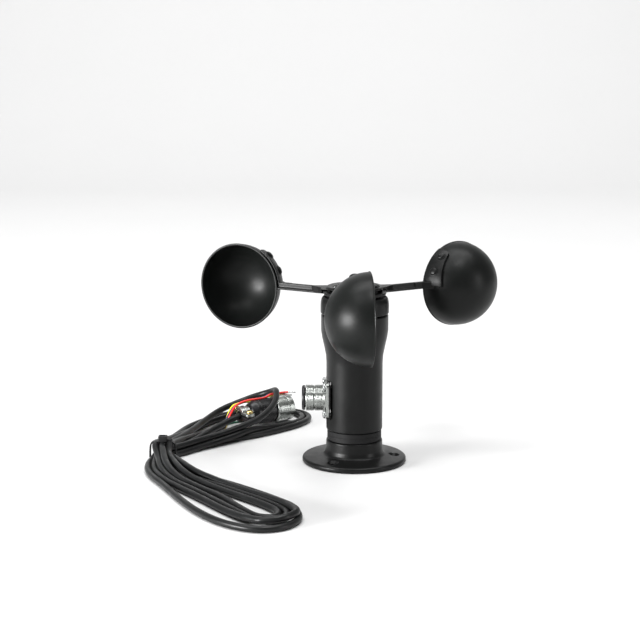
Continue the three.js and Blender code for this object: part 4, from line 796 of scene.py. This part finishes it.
make("skirt", lathe(soften([(3.4, 101.5), (3.4, 98.9), (17.2, 98.9), (18.4, 97.8), (18.4, 91.6), (20.3, 91.6), (20.5, 91.9), (20.5, 96.4), (20.3, 98.6), (19.9, 100.3), (19.2, 101.2), (17.9, 101.5)], 0.5, 4, closed=True, only=6), 160, ring=True), "rotor", "powder_black", ["rotor_skirt"])
make("shaft", lathe(soften([(0, 54.8), (2.3, 54.8), (2.7, 55.2), (2.7, 71.6), (4.2, 71.6), (4.2, 90.0), (2.7, 90.0), (2.7, 107.3), (2.4, 107.6), (2.4, 112.6), (0, 112.6)], 0.15, 2), 64), "rotor", "steel", ["rotor_shaft"])
disc = slab([(9.3 * math.cos(a * 3 * DEG), 9.3 * math.sin(a * 3 * DEG)) for a in range(120)], 56.0, 56.8, 0.08, 1)
cuts = [lathe([(0, 55), (3.05, 55), (3.05, 58), (0, 58)], 48)]
for i in range(12):
    a0 = i * 30
    o_ = [(6.6 * math.cos((a0 + d) * DEG), 6.6 * math.sin((a0 + d) * DEG)) for d in range(-6, 7, 3)] + [(8.4 * math.cos((a0 + d) * DEG), 8.4 * math.sin((a0 + d) * DEG)) for d in range(6, -7, -3)]
    cuts.append(slab(o_, 55, 58, 0))
make("slotted_disc", carve(disc, cuts), "rotor", "steel", ["encoder_disc"])

# ---------------------------------------------------------------- bearings
for name, z0 in (("lower", 65.1), ("upper", 90.5)):
    z1, zc = z0 + 6.0, z0 + 3.0
    race = lambda r, d: [(r + d * 0.75 * math.cos(a * DEG), zc + 1.3 * math.sin(a * DEG)) for a in range(-90, 91, 15)]
    inner_p = [(3.0, z0), (5.0, z0)] + race(5.0, -1) + [(5.0, z1), (3.0, z1)]
    outer_p = [(9.5, z1), (7.5, z1)] + race(7.5, 1)[::-1] + [(7.5, z0), (9.5, z0)]
    make(f"{name}_race_in", lathe(soften(inner_p, 0.25, 3, closed=True, only=40), 80, ring=True), "rotor", "steel", [f"{name}_bearing_inner"])
    make(f"{name}_race_out", lathe(soften(outer_p, 0.25, 3, closed=True, only=40), 96, ring=True), "root", "steel", [f"{name}_bearing_outer"])
    cage = [lathe(soften([(5.75, zc - 0.55), (6.75, zc - 0.55), (6.75, zc + 0.55), (5.75, zc + 0.55)], 0.15, 2, closed=True), 80, ring=True)]
    for k in range(7):
        a = 2 * math.pi * k / 7
        cage.append(ball(1.45, 6.25 * math.cos(a), 6.25 * math.sin(a), zc, 20, 12))
    make(f"{name}_balls", merge(*cage), f"{name}_balls", "brass", [f"{name}_ball_cage"])

# ---------------------------------------------------------------- body
SEG = 176
shell_p = soften([(12.4, 20.3), (16.6, 20.3), (17.0, 20.7), (17.0, 61.5), (17.3, 66.0), (18.2, 70.6), (19.5, 76.4), (20.2, 81.0), (20.2, 90.2), (19.6, 90.9),
                  (15.2, 90.9), (15.2, 62.3), (12.4, 62.3), (12.4, 48.2), (11.2, 48.2), (11.2, 46.6), (12.4, 46.6)], 0.35, 3, closed=True, only=12)
# extra rows where the flat is milled
rows = []
for a, b in zip(shell_p, shell_p[1:] + shell_p[:1]):
    rows.append(a)
    if abs(a[0] - 17.0) < 1e-3 and abs(b[0] - 17.0) < 1e-3 and b[1] - a[1] > 20:
        rows += [(17.0, 27.38), (17.0, 27.5), (17.0, 27.8), (17.0, 33.0), (17.0, 39.1), (17.0, 45.0), (17.0, 50.4), (17.0, 50.7), (17.0, 50.82)]
body = lathe(rows, SEG, ring=True)
body = warp(body, lambda x, y, z: (max(x, -14.3) if 27.45 < z < 50.75 and math.hypot(x, y) > 16.5 else x, y, z))
make("body_tube", body, "root", "powder_black", ["body_shell"], sharp=40)

flange_p = soften([(0, 0), (30.9, 0), (31.5, 0.6), (31.5, 2.1), (31.2, 2.8), (30.4, 3.3), (18.9, 4.6), (17.9, 5.4), (17.2, 7.6), (17.0, 13.7), (14.6, 13.7), (14.6, 20.0),
                   (12.1, 20.0), (12.1, 30.0), (9.8, 30.0), (9.8, 6.0), (0, 6.0)], 0.7, 5, only=8)
sinks = []
for a in (-3, 117, 237):
    sx, sy = 24.6 * math.cos(a * DEG), 24.6 * math.sin(a * DEG)
    sinks.append(move(lathe([(0, -1), (2.15, -1), (2.15, 2.6), (4.1, 4.5), (4.1, 6), (0, 6)], 48), sx, sy, 0))
make("foot_flange", carve(lathe(flange_p, 160), sinks), "root", "powder_black", ["base_flange"], sharp=32)
make("neck_seal", lathe(soften([(14.9, 14.0), (16.1, 14.0), (16.4, 14.3), (16.4, 16.8), (16.28, 16.95), (16.28, 17.15), (16.4, 17.3), (16.4, 19.7), (16.1, 20.0), (14.9, 20.0)], 0.2, 3, closed=True), 128, ring=True), "root", "rubber_black", ["base_seal"])
make("carrier", lathe(soften([(6.5, 71.4), (9.8, 71.4), (9.8, 62.6), (14.9, 62.6), (14.9, 78.0), (14.5, 78.4), (14.5, 80.2), (14.9, 80.6), (14.9, 96.5), (14.2, 97.2), (9.8, 97.2), (9.8, 90.2), (6.5, 90.2)], 0.3, 3, closed=True), 128, ring=True), "root", "aluminium", ["bearing_carrier"])
board = slab([(12.1 * math.cos(a * 3 * DEG), 12.1 * math.sin(a * 3 * DEG)) for a in range(120)], 48.5, 50.1, 0.1, 1)
make("board", board, "root", "board_green", ["encoder_board"])
chips = merge(brick(-6.5, -1.5, -3.0, 2.0, 50.1, 51.3, 0.15), brick(-1.0, 1.2, 5.0, 8.6, 50.1, 51.0, 0.12), brick(2.0, 3.6, -8.0, -5.2, 50.1, 50.9, 0.1), brick(-4.4, -2.4, 5.6, 9.6, 50.1, 51.8, 0.2), brick(-7.5, -5.7, -7.4, -5.9, 50.1, 50.8, 0.1))
make("board_parts", chips, "root", "bakelite_black")
legs = merge(*[brick(-6.0 + 0.9 * k, -5.7 + 0.9 * k, s * 3.6 - 0.5 if s < 0 else 1.9, s * 3.6 - 0.5 + 1.2 if s < 0 else 2.9, 50.1, 50.35, 0.03) for k in range(6) for s in (-1, 1)])
make("board_legs", legs, "root", "tinned")
sensor = carve(brick(5.8, 11.6, -3, 3, 50.4, 60.2, 0.3), [brick(4, 10.2, -4, 4, 55.2, 57.6, 0)])
make("slot_sensor", sensor, "root", "bakelite_black", ["opto_sensor"])
harness = [(-9.9, 0, 39.1), (-7.5, 0, 39.5), (-4.6, 0, 41.7), (-3.2, 0, 44.7), (-3.0, 0, 48.1)]
hp = catmull(harness, 8)
for k, colour in enumerate(("wire_blue", "wire_red", "wire_yellow", "wire_green")):
    a = k * math.pi / 2
    strand = [(p[0], p[1] + 0.62 * math.cos(a + 0.12 * i), p[2] + 0.62 * math.sin(a + 0.12 * i)) for i, p in enumerate(hp)]
    make(f"harness_{colour}", sweep(strand, circle(0.58, 14)), "root", colour, ["inner_harness"] if k == 0 else ())

# ---------------------------------------------------------------- side socket
SZ = 39.1
def square(x0, x1, half=11.2, c=1.9, edge=0.2):
    o_ = soften([(-half, -half), (half, -half), (half, half), (-half, half)], c * 1.7, 8, closed=True)
    return minus_x(slab(o_, x0, x1, edge, 3))

lift = lambda shape: move(shape, 0, 0, SZ)
bore = lambda r, a=5, b=40, n=64: minus_x(lathe([(0, a), (r, a), (r, b), (0, b)], n))
make("socket_seal", lift(carve(square(14.6, 15.3, 11.35), [bore(6.4)])), "root", "rubber_black", ["socket_gasket"])
barrel_p = [(6.2, 16.4), (9.3, 16.4), (9.3, 18.0), (8.6, 18.5), (7.9, 18.8)]
z = 19.2
while z < 23.2:
    barrel_p += [(7.9, z), (7.9, z + 0.3), (7.72, z + 0.45), (7.72, z + 0.55), (7.9, z + 0.7)]
    z += 0.85
barrel_p += [(7.9, 23.6), (7.45, 23.85), (7.45, 24.6), (7.9, 24.9)]
z = 25.1
while z < 28.2:
    barrel_p += [(7.9, z), (7.9, z + 0.3), (7.74, z + 0.45), (7.74, z + 0.55), (7.9, z + 0.7)]
    z += 0.85
barrel_p += [(7.9, 28.7), (7.9, 29.1), (7.5, 29.6), (6.2, 29.6)]
barrel = minus_x(lathe(soften(barrel_p, 0.1, 2, closed=True, only=8), 112, ring=True))
flat_plate = carve(square(15.6, 17.3), [bore(6.3)])
make("socket_barrel", lift(merge(flat_plate, barrel)), "root", "chrome", ["socket_shell"])
core = minus_x(lathe(soften([(0, 12.6), (5.8, 12.6), (5.8, 29.9), (7.5, 29.9), (7.7, 30.4), (7.6, 31.1), (7.1, 31.7), (6.2, 31.9), (5.2, 31.8), (4.9, 31.3), (4.9, 21.5), (0, 21.5)], 0.35, 4, only=6), 96))
key = brick(-31.0, -21.4, -0.7, 0.7, 4.3, 5.2, 0.15)
core = merge(carve(core, [warp(bore(1.05, 5, 40, 24), lambda x, y, z, a=a, b=b: (x, y + a, z + b)) for a, b in hole_at]), key)
make("socket_core", lift(core), "root", "bakelite_black", ["socket_insert"])
for i, (a, b) in enumerate(hole_at):
    pin = minus_x(lathe(soften([(0, 10.6), (0.75, 10.6), (0.75, 26.3), (0.45, 27.0), (0, 27.0)], 0.2, 3), 24))
    make(f"contact_{i + 1}", lift(move(pin, 0, a, b)), "root", "brass", [f"socket_pin_{i + 1}"])
for i, (a, b) in enumerate([(-1, 1), (-1, -1), (1, 1), (1, -1)]):
    s = minus_x(move(spin(SOCKET_SCREW, 15 + 31 * i), 0, 0, 17.6))
    make(f"socket_bolt_{i + 1}", lift(move(s, 0, a * 8.5, b * 8.5)), "root", "steel", [f"socket_screw_{i + 1}"])

# ---------------------------------------------------------------- floor and light
def backdrop():
    pts = [(-6.0, 0.0)]
    pts += [(y, 0.0) for y in np.linspace(-3, 1.6, 12)]
    for a in np.linspace(0, 90, 24):
        pts.append((1.6 + 1.4 * math.sin(a * DEG), 1.4 - 1.4 * math.cos(a * DEG)))
    pts.append((3.0, 5.0))
    verts = [(x, y, z - 0.00005) for y, z in pts for x in (-6, 6)]
    faces = [(2 * k, 2 * k + 1, 2 * k + 3, 2 * k + 2) for k in range(len(pts) - 1)]
    me = bpy.data.meshes.new("floor")
    me.from_pydata(verts, [], faces)
    for p in me.polygons:
        p.use_smooth = True
    o = bpy.data.objects.new("floor", me)
    bpy.context.scene.collection.objects.link(o)
    return o

floor = backdrop()
floor.data.materials.append(surface("paper", (0.70, 0.70, 0.70), 0.85, spec=0.1, tone=0.004, tone_scale=6, grain=0.002, grain_scale=300))

def softbox(name, place, target, size_x, size_y, power, color=(1, 1, 1)):
    L = bpy.data.lights.new(name, "AREA")
    L.shape = "RECTANGLE"
    L.size, L.size_y = size_x, size_y
    L.energy = power
    L.color = color
    o = bpy.data.objects.new(name, L)
    o.location = place
    o.rotation_euler = (Vector(target) - Vector(place)).to_track_quat("-Z", "Y").to_euler()
    bpy.context.scene.collection.objects.link(o)
    return o

def around(az, el, dist, centre=(-0.01, 0, 0.06)):
    """A place at a heading round the object (0 is in front, positive to the right)."""
    a, e = az * DEG, el * DEG
    return (centre[0] + dist * math.sin(a) * math.cos(e), centre[1] - dist * math.cos(a) * math.cos(e), centre[2] + dist * math.sin(e))

softbox("key_left", around(-60, 5.5, 1.5), (0, 0, 0.06), 0.66, 0.38, 48)
softbox("fill_left", around(-45, 55, 1.6), (0, 0, 0.06), 0.5, 0.4, 4)
softbox("fill_top", around(22, 67, 1.6), (0, 0, 0.06), 0.6, 0.4, 9)
softbox("strip_right", around(66, 8, 1.6), (0, 0, 0.06), 0.25, 0.8, 6)
softbox("backdrop_light", (0, 0.5, 2.6), (0, 2.2, 0.0), 3.0, 1.5, 84)

world = bpy.data.worlds.new("studio")
world.use_nodes = True
bg = world.node_tree.nodes["Background"]
bg.inputs["Color"].default_value = (1, 1, 1, 1)
bg.inputs["Strength"].default_value = 0.18
bpy.context.scene.world = world
bpy.context.scene.view_settings.view_transform = "Standard"
